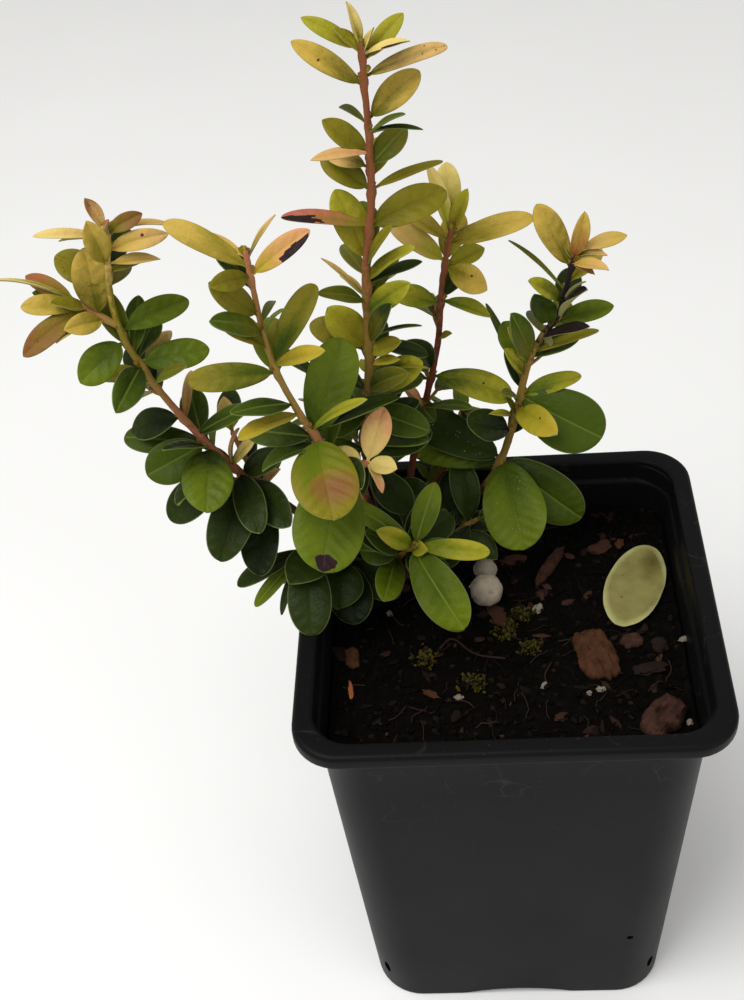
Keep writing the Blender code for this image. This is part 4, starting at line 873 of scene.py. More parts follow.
def blade_grid(leaf, fine, chance):
    """Shares along and across a blade at each row and point, its half widths and its ridge's share."""
    rows = round(10 + ROWS_PER_MM * leaf.length) * fine
    u = 1 - (1 - np.linspace(0, 1, rows + 1)) ** 1.5
    half = blade_half(leaf, u, chance)
    rib = np.minimum(0.15, RIB_HALF / half)[:, None]
    edge = np.minimum(0.12, EDGE_WIDE / half)[:, None]
    count = (3 + (leaf.width > 4.5) + (leaf.width > 8)) * fine
    c = rib + (1 - edge - rib) * np.linspace(0, 1, count + 1)
    c = np.concatenate([c, 1 + 0 * rib], 1)
    c = np.concatenate([-c[:, ::-1], 0 * rib, c], 1)
    return u[:, None], c, half[:, None], rib


def blade_top(leaf, u, c, half, rib, chance):
    """The points of a blade's upper side: folded, arched, twisted, curled and bent."""
    x, z = c * half, blade_lift(leaf, u, c, half, rib, chance)
    turn = chance.uniform(-TWIST, TWIST) * (u - 0.2)
    curl = chance.uniform(*CURL) * leaf.length * u ** 3
    bend = chance.uniform(-BEND, BEND) * leaf.length * u * u
    rise = LEAF_ARCH * leaf.length * (u - 1.6 * u * u) + curl
    side_way = x * np.cos(turn) - z * np.sin(turn) + bend
    up_way = x * np.sin(turn) + z * np.cos(turn) + rise
    side, upper, axis = np.array(leaf.along.cross(leaf.upper)), np.array(leaf.upper), np.array(leaf.along)
    top = np.array(leaf.root) + (u * leaf.length)[..., None] * axis
    return top + side_way[..., None] * side + up_way[..., None] * upper


def blade(pool, leaf, chance):
    """Adds one leaf with its tones and marks to the pool, and gives the points of its upper side."""
    foot, tip, *marks = leaf.look.split()
    fine = 3 if set(marks) & set(PAINTED) else 2 if foot in DARK_TONES and tip not in DARK_TONES else 1
    u, c, half, rib = blade_grid(leaf, fine, chance)
    top = blade_top(leaf, u, c, half, rib, chance)
    thick = BLADE_THICK * (1 - 0.6 * c * c) * np.minimum(1, 0.5 + half)
    thick += 0.22 * (1 - u) * (np.abs(c) < 0.5 * rib)
    place = 0.5 * (u[:-1] + u[1:])
    across = 0.25 * (c[:-1, :-1] + c[:-1, 1:] + c[1:, :-1] + c[1:, 1:])
    seed = chance.uniform(0, 99)
    tones = [blade_tone(foot, tip, marks, place[i, 0], across[i, j], rib[i, 0], seed, chance)
             for i in range(across.shape[0]) for j in range(across.shape[1])]
    below = finish("under", "rib" if foot in DARK_TONES else "pale")
    two_sided(pool, top, top - thick[..., None] * np.array(leaf.upper), tones, below)
    return top


def tone_step(share):
    return min(TONE_STEPS, max(0, round(TONE_STEPS * share)))


def from_mark(mark, place, across):
    """How far a face is from the middle of a mark, where 1 is the mark's edge."""
    middle, beside, long, wide = MARKS[mark]
    return math.hypot((place - middle) / long, (across - beside) / wide)


def blade_tone(foot, tip, marks, place, across, rib, seed, chance):
    """The finish of one face: the tones run from foot to tip, sooner at the margin, with any mark."""
    away = abs(across)
    drift = noise.noise(Vector((2.6 * place + seed, 1.3 * across, seed)))
    fray = 0.25 * noise.noise(Vector((9 * place, 3.5 * across, seed)))
    if any(mark in marks and from_mark(mark, place, across) < 1 + fray for mark in ("blotch", "bruise")):
        return finish("leaf", "plum", "char", int(3 * chance.random()))
    if "burnt" in marks and place > 0.62 + fray and across < 0.15 + fray:
        return finish("leaf", "char", "plum", int(3 * chance.random()))
    reach = from_mark("patch", place, across) - 0.6 * fray
    if "patch" in marks and reach < 1.2:
        return finish("leaf", "brown", "olive", tone_step(0.8 * reach - 0.2 + 0.4 * drift))
    if away < rib and tip in DARK_TONES[2:] and place > 0.06:
        return finish("leaf", tip, "rib", 3)
    if away > 0.9 and tip in DARK_TONES:
        return finish("leaf", tip, "edge", 5)
    mottle = noise.noise(Vector((11 * place, 5 * across, seed)))
    share = (place - 0.15) / 0.75 + 0.2 * (away - 0.4)
    share += 0.46 * drift + 0.16 * mottle + chance.uniform(-0.04, 0.04)
    return finish("leaf", foot, tip, tone_step(share))


def slab(pool, middle, sizes, turn, square, tone_at, below, chance, rough, ridge, dish=0.0):
    """A flat flake lying at middle: square runs from 0.5, an oval, down to 0.1, nearly a rectangle.

    tone_at gives the finish of a top face from its shares, -1 to 1, of the length and the width.
    """
    length, width, thick = sizes
    rows, columns = max(8, round(length * 2)), max(6, round(width * 2))
    s = np.linspace(-1, 1, rows + 1)[:, None]
    t = np.linspace(-1, 1, columns + 1)[None, :]
    x = s * np.sqrt(1 - square * t * t)
    y = t * np.sqrt(1 - square * s * s)
    seed = chance.uniform(0, 99)
    out = np.maximum(np.abs(s), np.abs(t))
    angle = np.arctan2(y, x)
    wave = np.array([[noise.noise(Vector((2 * math.cos(a), 2 * math.sin(a), seed)))
                      + 0.5 * noise.noise(Vector((5 * math.cos(a), 5 * math.sin(a), seed))) for a in line]
                     for line in angle])
    x, y = (1 + rough * wave * out) * x * length / 2, (1 + rough * wave * out) * y * width / 2
    grain = np.array([[noise.noise(Vector((0.35 * a, 2.2 * b, seed))) for a, b in zip(*line)]
                      for line in zip(x, y)])
    z = thick * (0.5 - 0.55 * out ** 5) + ridge * grain * (1 - out ** 8) + dish * out ** 2
    z_under = np.minimum(z - 0.12, -0.5 * thick * (1 - 0.3 * out ** 4) + dish * out ** 2)
    turn = math.radians(turn)
    along = np.array((math.cos(turn), math.sin(turn), 0))
    beside = np.array((-math.sin(turn), math.cos(turn), 0))
    flat = np.array(middle) + x[..., None] * along + y[..., None] * beside
    up = np.array((0, 0, 1.0))
    names = [tone_at(a, b) for a in s[:-1, 0] for b in t[0, :0:-1]]
    top, under = flat + z[..., None] * up, flat + z_under[..., None] * up
    two_sided(pool, top[:, ::-1], under[:, ::-1], names, below)


def lump(middle, sizes, turn, chance, rings, sides, square=1.0, rough=0.25, lean=None):
    """Vertices and faces of a closed uneven pebble or flake; square below 1 gives a flat top and foot."""
    shift = Vector((chance.uniform(0, 99), chance.uniform(0, 99), chance.uniform(0, 99)))
    spin = Matrix.Rotation(math.radians(turn), 3, "Z")
    if lean:
        spin = lean @ spin
    found = []
    for i in range(rings + 1):
        tilt = math.pi * (i / rings - 0.5)
        flat = math.copysign(abs(math.cos(tilt)) ** square, 1)
        high = math.copysign(abs(math.sin(tilt)), tilt)
        ring = []
        for k in range(1 if i in (0, rings) else sides):
            angle = math.tau * (k + 0.5 * (i % 2)) / sides
            way = Vector((math.cos(angle) * flat, math.sin(angle) * flat, high))
            if i in (0, rings):
                way = Vector((0, 0, high))
            grow = 1 + rough * noise.noise(way * 1.7 + shift) + 0.4 * rough * noise.noise(way * 4.3 + shift)
            ring.append(middle + spin @ Vector(w * grow * s * 0.5 for w, s in zip(way, sizes)))
        found.append(ring)
    return lofted(found)


def speck_on(pool, top, i, j, radius, tone, chance):
    """A thin round fleck lying on a blade at one point of its grid."""
    here = Vector(top[i, j])
    normal = (Vector(top[i + 1, j]) - here).cross(Vector(top[i, j + 1]) - here).normalized()
    lean = Vector((0, 0, 1)).rotation_difference(normal).to_matrix()
    size = (2 * radius, 2 * radius * chance.uniform(0.7, 1.0), 0.14)
    pool.add(*lump(here, size, 0, chance, rings=4, sides=8, rough=0.3, lean=lean), finish("leaf", tone))


def add_flecks(pool, leaf, top, chance):
    rows, columns = top.shape[0] - 1, top.shape[1] - 1
    if "spot" in leaf.look:
        speck_on(pool, top, int(rows * 0.5), columns // 2 - 2, 0.34, "maroon", chance)
    if "specks" in leaf.look:
        for _ in range(6):
            i, j = chance.randrange(rows // 2, rows - 3), chance.randrange(3, columns - 3)
            speck_on(pool, top, i, j, chance.uniform(0.12, 0.26), "brown", chance)
    if "dust" in leaf.look:
        for _ in range(16):
            i, j = chance.randrange(rows // 6, rows * 2 // 3), chance.randrange(3, columns - 3)
            speck_on(pool, top, i, j, chance.uniform(0.07, 0.17), "pale", chance)


def bark_tone(tones, share, point, chance):
    """The finish at a share of a limb, from its even list of tones, mottled and flecked."""
    mottle = 0.7 * noise.noise(point * 0.9) + 0.5 * noise.noise(point * 2.6)
    place = share * (len(tones) - 1) + mottle + chance.uniform(-0.12, 0.12)
    place = min(max(place, 0), len(tones) - 1.01)
    step = round((place - int(place)) * TONE_STEPS)
    return finish("bark", tones[int(place)], tones[int(place) + 1], step)


def swollen(ring, middle, axis, radius, near, shift):
    """One ring of bark with ridges and fine cracks, and a cushion below each near leaf."""
    found = []
    for i, point in enumerate(ring):
        way = (point - middle).normalized()
        crack = noise.noise(Vector((way.x * 2.2, way.y * 2.2, middle.z * 0.22)) + middle * 0.05)
        grow = radius * (1 + 0.10 * crack + 0.07 * noise.noise(point * 2.1))
        grow += BARK_RIDGE * math.cos(3 * math.tau * i / len(ring) + shift)
        for leaf in near:
            below = math.exp(-((middle - leaf.root).dot(axis) + 0.7) ** 2)
            grow += CUSHION * max(0.0, way.dot(leaf.along)) ** 3 * below
        found.append(middle + way * grow)
    return found


def barked(pool, points, radii, tones, leaves, chance, sides=14, step=0.7):
    """A limb in bark, smoothed a little, with a rounded end."""
    marks = lengths_along(points)
    count = max(4, round(marks[-1] / step))
    path = [at_share(points, k / count)[0] for k in range(count + 1)]
    thick = [float(np.interp(k / count * marks[-1], marks, radii)) for k in range(count + 1)]
    for _ in range(2):
        path = [path[0], *((a + 2 * b + c) / 4 for a, b, c in zip(path, path[1:], path[2:])), path[-1]]
    shaped = []
    for k, (middle, ring) in enumerate(zip(path, tube_rings(path, thick, sides))):
        near = [leaf for leaf in leaves if (leaf.root - middle).length < NEAR_LEAF]
        axis = (path[min(k + 1, count)] - path[max(k - 1, 0)]).normalized()
        shaped.append(swollen(ring, middle, axis, thick[k], near, 0.12 * k))
    cap = path[-1] + (path[-1] - path[-2]).normalized() * thick[-1] * 0.9
    vertices, faces = lofted([*shaped, [cap]])
    shares = [min(1.0, (face[0] // sides) / count) for face in faces]
    names = [bark_tone(tones, share, vertices[face[0]], chance) for share, face in zip(shares, faces)]
    pool.add(vertices, faces, names)


def bud(pool, root, along, size, tones, chance):
    """A small pointed bud of overlapping scales."""
    start = root - along * 0.2
    for k in range(4):
        way = turned(along.orthogonal(), along, math.tau * k / 4 + 0.6)
        scale = Leaf(start + way * size * 0.16, (along + way * 0.22).normalized(), way, size, size * 0.62)
        pool.add(*scale.skin(), finish("leaf", *tones, chance.randrange(TONE_STEPS)))


def side_bud(pool, limb, leaf, chance):
    """A bud in the angle between a limb and one of its leaves."""
    near = min(range(len(limb)), key=lambda k: (limb[k] - leaf.root).length)
    line = (limb[min(near + 1, len(limb) - 1)] - limb[max(near - 1, 0)]).normalized()
    root = leaf.root + line * 0.7 + leaf.along * 0.55
    along = (line + 0.7 * leaf.along).normalized()
    bud(pool, root, along, chance.uniform(*SIDE_BUD), ("olive", "russet"), chance)


def age_and_shade_look(share, age_and_shade, tints):
    """Two tones of the ramp for a hidden leaf: dark low on a shoot, partly painted shade, yellow at an old
    tip.
    """
    place = min(max(share * age_and_shade + tints.gauss(0, 0.5), 0), len(RAMP) - 1.01)
    return f"{RAMP[int(place)]} {RAMP[int(place) + 1]}"


def twiglet(crown, mass, shoot, share, tints):
    """A short side twig with a few small leaves, or nothing where it has no room."""
    root, axis = at_share(shoot["leafy"], share)
    flat = turned(axis.orthogonal(), axis, tints.uniform(0, math.tau))
    way = (flat * 0.8 + axis * 0.6).normalized()
    length = tints.uniform(*TWIGLET_LENGTH)
    path = [root, root + way * length * 0.55 + axis * 0.25, root + way * length + axis * 1.1]
    found = []
    for k in range(TWIGLET_LEAVES):
        base, line = at_share(path, 0.45 + 0.13 * k)
        out = turned(line.orthogonal(), line, math.radians(GOLDEN_ANGLE) * k)
        size = tints.uniform(*TWIGLET_LEAF)
        leaf = Leaf(base, (0.75 * out + 0.65 * line).normalized(), line, size, 0.46 * size)
        if stays_clear(leaf) and crown.is_free(leaf, mass) and crown.fits_behind(leaf):
            leaf.look = age_and_shade_look(min(1.0, share + 0.15), shoot["age_and_shade"], tints)
            found.append(crown.keep(leaf, mass))
    return (path, found) if len(found) > 1 else None


def trunk_line():
    points = smooth_route([TRUNK_FOOT, *TRUNK_ROUTE])
    up = [TRUNK_FOOT, TRUNK_FOOT + Vector((0, 0, 1.2)), TRUNK_FOOT + Vector((0, 0, FLARE_HEIGHT / 2))]
    points = up + [p for p in points if p.z > TRUNK_FOOT.z + FLARE_HEIGHT - 0.5]
    radii = []
    for point, plain in zip(points, tapered(points, TRUNK_RADIUS, TRUNK_TOP_RADIUS)):
        low = max(0.0, 1 - (point.z - TRUNK_FOOT.z) / FLARE_HEIGHT)
        radii.append(plain + (FLARE_RADIUS - TRUNK_RADIUS) * low * low)
    return points, radii


def leaving(trunk_points, trunk_radii, height, toward, radius):
    """The trunk's middle at this height, and where a bough of this radius starts on its flank."""
    i = min(range(len(trunk_points)), key=lambda k: abs(trunk_points[k].z - height))
    a, b = (i, i + 1) if trunk_points[i].z <= height else (i - 1, i)
    share = (height - trunk_points[a].z) / (trunk_points[b].z - trunk_points[a].z)
    middle = trunk_points[a].lerp(trunk_points[b], share)
    thick = trunk_radii[a] + (trunk_radii[b] - trunk_radii[a]) * share
    way = (Vector(toward) - middle).normalized()
    flat = Vector((way.x, way.y, 0)).normalized()
    return middle, middle + flat * (thick + GAP + radius * abs(way.z) + 0.1)


def lay_limbs(crown):
    """The trunk, and every shoot with its whole limb, its leafy part and its twigs."""
    trunk, trunk_radii = trunk_line()
    crown.add_limb("trunk", trunk, trunk_radii, 8)
    end, before = trunk[-1], trunk[-2]
    leader = smooth_route([end + (end - before).normalized() * GAP, *LEADER["route"]])
    crown.add_limb("leaves_leader", leader, tapered(leader, *LEADER["radii"]))
    shoots = {"leader": dict(LEADER, leafy=leader, limb=leader, twigs=[])}
    for name, shoot in SHOOTS.items():
        thick, thin = shoot["radii"]
        inside, start = leaving(trunk, trunk_radii, shoot["height"], shoot["route"][0], thick)
        path = smooth_route([start, *shoot["route"]])
        bare = part_of(path, 0.0, shoot["bare"])
        leafy = part_of(path, shoot["bare"] + GAP / lengths_along(path)[-1], 1.0)
        middle = thick + (thin - thick) * shoot["bare"]
        crown.add_limb(f"bough_{name}", bare, tapered(bare, thick, middle))
        crown.add_limb(f"leaves_{name}", leafy, tapered(leafy, middle, thin))
        shoots[name] = dict(shoot, leafy=leafy, limb=[inside, *bare[:-1], *leafy], twigs=[])
    for home, place, clock, toward, length, rows in TWIGS:
        root = at_share(shoots[home]["leafy"], place)[0]
        tip = root + seen_direction(root, clock, toward) * length
        way = [root, root.lerp(tip, 0.5) + Vector((0, 0, -TWIG_SAG * length)), tip]
        crown.add_limb(f"leaves_{home}", way, tapered(way, *TWIG_RADII))
        shoots[home]["twigs"].append((way, rows))
    return trunk, trunk_radii, shoots


def seen_leaves(crown, mass, stem, rows, usual):
    """The leaves of one table, set along a stem, or along a twig where usual is None."""
    found = []
    for number, (place, *row, look) in enumerate(rows):
        staggered = min(place, TIP_PLACE) - NODE_STAGGER * (number % 4)
        root, axis = at_share(stem, max(staggered, LOWEST_PLACE))
        leaf = crown.settle(mass, root, axis, real_leaf(place, *row, usual))
        if usual:
            leaf.width *= float(np.interp(place, SLIM_FROM, (1, SLIM_TIP)))
        leaf.look = look
        found.append(leaf)
    return found


def set_leaves(crown, shoots, chance, tints):
    """The leaves of every stem and twig, by their tables and spirals, then dark ones low on the limbs."""
    for name in ORDER:
        shoot = shoots[name]
        mass = f"leaves_{name}"
        shoot["found"] = [seen_leaves(crown, mass, shoot["leafy"], shoot["leaves"], shoot["size"])]
        shoot["found"] += [seen_leaves(crown, mass, *twig, None) for twig in shoot["twigs"]]
        for leaf, share in crown.add_spiral(mass, shoot["leafy"], shoot["spiral"], shoot["size"], chance):
            leaf.look = age_and_shade_look(share, shoot["age_and_shade"], tints)
            shoot["found"][0].append(leaf)
    for name in SHOOTS:
        limb = shoots[name]["limb"][1:]
        for leaf, _ in crown.add_spiral(f"leaves_{name}", limb, FILL_COUNT, FILL_SIZE, tints, FILL_LEFT):
            # Dark tones for these low leaves, partly painted shade among the shoots' feet.
            leaf.look = tints.choice(FILL_LOOKS)
            shoots[name]["found"][0].append(leaf)


def grow_plant():
    """Places every stem and leaf by the source's rule, then builds their pieces."""
    chance = random.Random(SEED)
    tints = random.Random(SEED + 1)
    crown = Crown()
    trunk, trunk_radii, shoots = lay_limbs(crown)
    set_leaves(crown, shoots, chance, tints)
    for name in ORDER:
        dress_shoot(name, shoots[name], crown, tints)
    bark = Pool()
    foot = [TRUNK_FOOT - Vector((0, 0, 0.8)), *trunk[1:], shoots["leader"]["leafy"][1]]
    barked(bark, foot, [*trunk_radii, LEADER["radii"][0]], ("wood", "wood"), [], tints, sides=22, step=0.5)
    bark.piece("trunk_bark", "young_bark", "trunk")


def dress_shoot(name, shoot, crown, tints):
    """The pieces of one shoot: blades, barked limb and twigs, and buds."""
    leaves, bark, buds = Pool(), Pool(), Pool()
    mass = f"leaves_{name}"
    made = [twiglet(crown, mass, shoot, TWIGLET_FOOT + TWIGLET_STEP * k, tints) for k in range(TWIGLETS)]
    twiglets = [pair for pair in made if pair]
    for held in [*shoot["found"], *(held for _, held in twiglets)]:
        for leaf in held:
            add_flecks(leaves, leaf, blade(leaves, leaf, tints), tints)
    main, limb = shoot["found"][0], shoot["limb"]
    barked(bark, limb, tapered(limb, *shoot["radii"]), shoot["bark"].split(), main, tints)
    for (way, _), held in zip(shoot["twigs"], shoot["found"][1:]):
        barked(bark, way, tapered(way, *TWIG_RADII), ("straw", "rose"), held, tints, sides=10)
    for way, held in twiglets:
        barked(bark, way, tapered(way, *TWIGLET_RADII), ("straw", "russet"), held, tints, sides=8)
    for leaf in main:
        if tints.random() < BUD_SHARE:
            side_bud(buds, limb, leaf, tints)
    bud(buds, limb[-1], (limb[-1] - limb[-2]).normalized(), END_BUD, ("olive", "lime"), tints)
    leaves.piece(f"foliage_{name}", "foliage", mass)
    bark.piece(f"stem_{name}", "young_bark", mass, *([f"bough_{name}"] if name in SHOOTS else []))
    buds.piece(f"buds_{name}", "foliage", mass, sharp=40)


def rounded_square(half, corner, z, side_steps=1):
    """The points of a level square with rounded corners, anticlockwise from above."""
    points = []
    for quarter in range(4):
        turn = quarter * math.pi / 2
        middle = Matrix.Rotation(turn, 2) @ Vector((half - corner, half - corner))
        for step in range(CORNER_STEPS + 1):
            angle = turn + math.pi / 2 * step / CORNER_STEPS
            points.append((middle.x + corner * math.cos(angle), middle.y + corner * math.sin(angle), z))
        along = Matrix.Rotation(turn, 2) @ Vector((-2 * (half - corner) / side_steps, 0))
        x, y, _ = points[-1]
        points += [(x + along.x * step, y + along.y * step, z) for step in range(1, side_steps)]
    return points


def eased(profile, radius, steps=3):
    """Rounds the inner corners of a profile of (half, corner, height) rows."""
    found = [Vector(profile[0])]
    for before, here, after in zip(profile, profile[1:], profile[2:]):
        before, here, after = Vector(before), Vector(here), Vector(after)
        back, on = before - here, after - here
        cut = min(radius, 0.45 * back.length, 0.45 * on.length)
        start, end = here + back.normalized() * cut, here + on.normalized() * cut
        for k in range(steps + 1):
            t = k / steps
            found.append((1 - t) ** 2 * start + 2 * t * (1 - t) * here + t * t * end)
    return [*found, Vector(profile[-1])]


def pot_finish():
    """Satin black plastic with faint dust and fine curved scratches high on its walls."""
    made = Surface("pot_plastic")
    bent = made.combine("VectorMath", "MULTIPLY_ADD", made.cloud(70.0, 2.0, "Color"), (0.02,) * 3, made.place)
    cells = made.node("TexVoronoi", Vector=bent, Scale=110.0)
    cells.feature = "DISTANCE_TO_EDGE"
    lines = made.spread(cells.outputs["Distance"], 0.0, 0.035, 1.0, 0.0)
    scratches = made.combine("Math", "MULTIPLY", lines, made.spread(made.cloud(90.0, 3.0), 0.56, 0.66))
    specks = made.spread(made.cloud(900.0, 2.0), 0.7, 0.74)
    high = made.spread(made.node("SeparateXYZ", Vector=made.place).outputs["Z"], 0.055, 0.1)
    marks = made.combine("Math", "MULTIPLY", made.combine("Math", "MAXIMUM", scratches, specks), high)
    mix = made.node("Mix")
    mix.data_type = "RGBA"
    made.set(mix, Factor=marks, A=(*linear(TONES["plastic"]), 1), B=(*linear(TONES["scuff"]), 1))
    gloss = made.spread(made.cloud(45.0, 3.0), 0.0, 1.0, 0.38, 0.52)
    return made.finish(mix.outputs["Result"], gloss, 0.08, 1800.0, 2.0, 0.12)


def pot_profile():
    """The wall's section as (half, corner, height) rows, from its outer foot over the lip to its floor."""
    under_lip = POT_HEIGHT - LIP_FOLD
    lip_foot = POT_HEIGHT - LIP_HEIGHT
    ledge = POT_HEIGHT - LEDGE_DEPTH
    fold = (RIM_HALF - LIP_THICK, RIM_CORNER - 0.8)
    walls = [(BODY_FOOT_HALF + POT_SLOPE * z, BODY_FOOT_CORNER - 0.01 * z, z) for z in WALL_RINGS]
    return [
        (BODY_FOOT_HALF - 0.3, BODY_FOOT_CORNER - 0.3, 0.0),
        (BODY_FOOT_HALF, BODY_FOOT_CORNER, 0.6),
        *walls,
        (BODY_TOP_HALF, BODY_TOP_CORNER, under_lip),
        (*fold, under_lip),
        (*fold, lip_foot),
        (RIM_HALF, RIM_CORNER, lip_foot),
        (RIM_HALF, RIM_CORNER, POT_HEIGHT - 0.7),
        (RIM_HALF - 0.7, RIM_CORNER - 0.5, POT_HEIGHT),
        (BODY_TOP_HALF + 0.2, RIM_CORNER - 1.4, POT_HEIGHT),
        (BODY_TOP_HALF - 0.3, RIM_CORNER - 1.7, POT_HEIGHT - 0.6),
        (BODY_TOP_HALF - 0.5, RIM_CORNER - 1.8, ledge + 0.8),
        (BODY_TOP_HALF - WALL - 0.2, RIM_CORNER - 1.9, ledge),
        (BODY_FOOT_HALF + POT_SLOPE * FLOOR - WALL, BODY_FOOT_CORNER - WALL, FLOOR),
    ]


def pot_cutters():
    """On each side an arch at the foot, a round vent and a slot through the corner."""
    arch_radius = (ARCH_WIDTH ** 2 / 4 + ARCH_RISE ** 2) / (2 * ARCH_RISE)
    reach = BODY_FOOT_HALF - BODY_FOOT_CORNER * (1 - math.sqrt(0.5))
    arch_at = Vector((0, -BODY_FOOT_HALF, ARCH_RISE - arch_radius))
    vent_at = Vector((VENT_FROM_MIDDLE, -BODY_FOOT_HALF, VENT_HEIGHT))
    found = []
    for quarter in range(4):
        turn = Matrix.Rotation(quarter * math.pi / 2, 4, "Z")
        found.append(cutter(turn, arch_at, False, arch_radius, 2 * ARCH_INWARD, 120))
        found.append(cutter(turn, vent_at, False, VENT_RADIUS, 8, 24))
        found.append(cutter(turn, Vector((reach, -reach, SLOT_HEIGHT)), True, SLOT_RADIUS, 9, 24))
    return found


def make_pot():
    """The tub with rounded lip and slightly drawn-in walls, its arches and drain holes cut through."""
    pool = Pool()
    rings = [rounded_square(half, corner, z, 8) for half, corner, z in eased(pot_profile(), 0.45)]
    FINISHES["pot_plastic"] = pot_finish()
    pool.add(*lofted(rings), "pot_plastic")
    pot = pool.piece("pot_shell", "pot_plastic", "pot")
    cutters = pot_cutters()
    for item in cutters:
        cut = pot.modifiers.new(item.name, "BOOLEAN")
        cut.operation = "DIFFERENCE"
        cut.object = item
    bpy.context.view_layer.update()
    cut_mesh = bpy.data.meshes.new_from_object(pot.evaluated_get(bpy.context.evaluated_depsgraph_get()))
    pot.modifiers.clear()
    pot.data = cut_mesh
    cut_mesh.shade_smooth()
    cut_mesh.set_sharp_from_angle(angle=math.radians(32))
    for item in cutters:
        bpy.data.objects.remove(item, do_unlink=True)


def cutter(turn, place, is_slot, radius, depth, sides):
    """A round cutter along Y, or an upright slot along a corner's diagonal."""
    shell = bmesh.new()
    bmesh.ops.create_cone(shell, cap_ends=True, segments=sides, radius1=radius * MM, radius2=radius * MM,
                          depth=depth * MM)
    mesh = bpy.data.meshes.new("cutter")
    shell.to_mesh(mesh)
    shell.free()
    made = bpy.data.objects.new("cutter", mesh)
    bpy.context.scene.collection.objects.link(made)
    lie_down = Matrix.Rotation(math.pi / 2, 4, "X")
    if is_slot:
        lie_down = Matrix.Rotation(math.pi / 4, 4, "Z") @ lie_down @ Matrix.Diagonal((1, 2.4, 1, 1))
    made.matrix_world = turn @ Matrix.Translation(place * MM) @ lie_down
    made.hide_render = True
    return made


def bed_height(x, y):
    """The top of the peat: broad hollows with finer crumbs on them, level under what stands there."""
    here = Vector((x, y, 0))
    broad = noise.noise(here * 0.09) * 0.9 + noise.noise(here * 0.31) * 0.6
    fine = noise.noise(here * 1.1) * 0.35 + noise.noise(here * 2.7) * 0.16
    ease = min(1.0, min(max(0.0, math.hypot(x - a, y - b) - r) / 4 for a, b, r in SPOTS))
    return SOIL_TOP + 0.1 + ease * (broad - 0.1) + (0.35 + 0.65 * ease) * fine


def make_soil(chance):
    """The bed of peat in close rings, each face in its own dark tone, and what is strewn on it."""
    wide = BODY_FOOT_HALF + POT_SLOPE * SOIL_TOP - WALL - GAP
    corner = RIM_CORNER - 2.2
    bed = Pool()
    rings = [rounded_square(wide - 4, corner, SOIL_TOP - 30, BED_STEPS),
             rounded_square(wide, corner, SOIL_TOP - 1.2, BED_STEPS)]
    for ring in range(BED_RINGS):
        share = 1 - (ring + 0.2) / BED_RINGS
        level = rounded_square(wide * share, corner * share, 0, BED_STEPS)
        rings.append([(x, y, bed_height(x, y)) for x, y, _ in level])
    rings.append([(0, 0, bed_height(0, 0))])
    vertices, faces = lofted(rings)
    tones = [finish("bed", "peat", "humus", step) for step in range(TONE_STEPS + 1)]
    names = [tones[int(chance.random() ** 2 * TONE_STEPS)] for _ in faces]
    bed.add(vertices, faces, names)
    bed.piece("soil_bed", "peat", "soil")
    strew_crumbs(wide, chance)
    strew_fibres(wide, chance)
    strew_flakes(wide, chance)
    grow_moss(chance)


def soil_spot(wide, chance):
    """A chance place on the bed that nothing stands on."""
    while True:
        x, y = chance.uniform(-wide, wide) * 0.97, chance.uniform(-wide, wide) * 0.97
        if all(math.hypot(x - a, y - b) > 0.55 * r for a, b, r in SPOTS):
            return Vector((x, y, bed_height(x, y)))


def strew_crumbs(wide, chance):
    """Crumbs of peat, most of them small."""
    crumbs = Pool()
    for _ in range(CRUMBS):
        here = soil_spot(wide, chance)
        size = CRUMB_LEAST + CRUMB_SPREAD * chance.random() ** 2.2
        sizes = (size, size * chance.uniform(0.5, 1.0), size * chance.uniform(0.4, 0.8))
        lighter = chance.choice(("humus", "humus", "umber"))
        tone = finish("earth", "peat", lighter, chance.randrange(TONE_STEPS))
        crumbs.add(*lump(here, sizes, chance.uniform(0, 360), chance, rings=4, sides=5, rough=0.6), tone)
    crumbs.piece("soil_crumbs", "peat", "soil", sharp=50)


def strew_fibres(wide, chance):
    """Short winding fibres, and the one long thread that shows on the soil."""
    fibres = Pool()
    for _ in range(FIBRES):
        here = soil_spot(wide, chance)
        way = Vector((chance.uniform(-1, 1), chance.uniform(-1, 1), 0)).normalized()
        path = []
        for _ in range(FIBRE_POINTS):
            if max(abs(here.x), abs(here.y)) > wide - 0.5:
                break
            path.append(Vector((here.x, here.y, bed_height(here.x, here.y) + chance.uniform(0.15, 0.7))))
            way.rotate(Matrix.Rotation(chance.uniform(-0.6, 0.6), 3, "Z"))
            here = here + way * chance.uniform(*FIBRE_STEP)
        if len(path) > 3:
            rings = tube_rings(path, [chance.uniform(*FIBRE_RADIUS)] * len(path), 4)
            tone = chance.choice(("humus", "humus", "umber", "thread"))
            fibres.add(*lofted(rings), finish("earth", tone))
    line = smooth_route([(x, y, bed_height(x, y) + 0.9) for x, y in THREAD], 0.8)
    fibres.add(*lofted(tube_rings(line, [THREAD_RADIUS] * len(line), 6)), finish("earth", "thread"))
    fibres.piece("soil_fibres", "peat", "soil")


def strew_flakes(wide, chance):
    """Small flat flakes at chance places, and the bits that show on the soil."""
    flakes = Pool()
    for _ in range(FLAKES):
        here = soil_spot(wide, chance) + Vector((0, 0, 0.2))
        size = chance.uniform(*FLAKE_SIZE)
        sizes = (size, size * chance.uniform(0.3, 0.7), chance.uniform(0.25, 0.6))
        lean = Matrix.Rotation(chance.uniform(-0.5, 0.5), 3, "X")
        tone = finish("chip", "humus", chance.choice(("umber", "cocoa")), chance.randrange(TONE_STEPS + 1))
        flakes.add(*lump(here, sizes, chance.uniform(0, 360), chance, 4, 7, 0.4, 0.6, lean), tone)
    for x, y, length, width, thick, turn, tone in BITS:
        here = Vector((x, y, bed_height(x, y) + 0.35 * thick))
        shape = lump(here, (length, width, thick), turn, chance, rings=8, sides=12, square=0.5, rough=0.7)
        flakes.add(*shape, finish("chip", tone))
    flakes.piece("soil_flakes", "bark_chip", "soil", sharp=45)


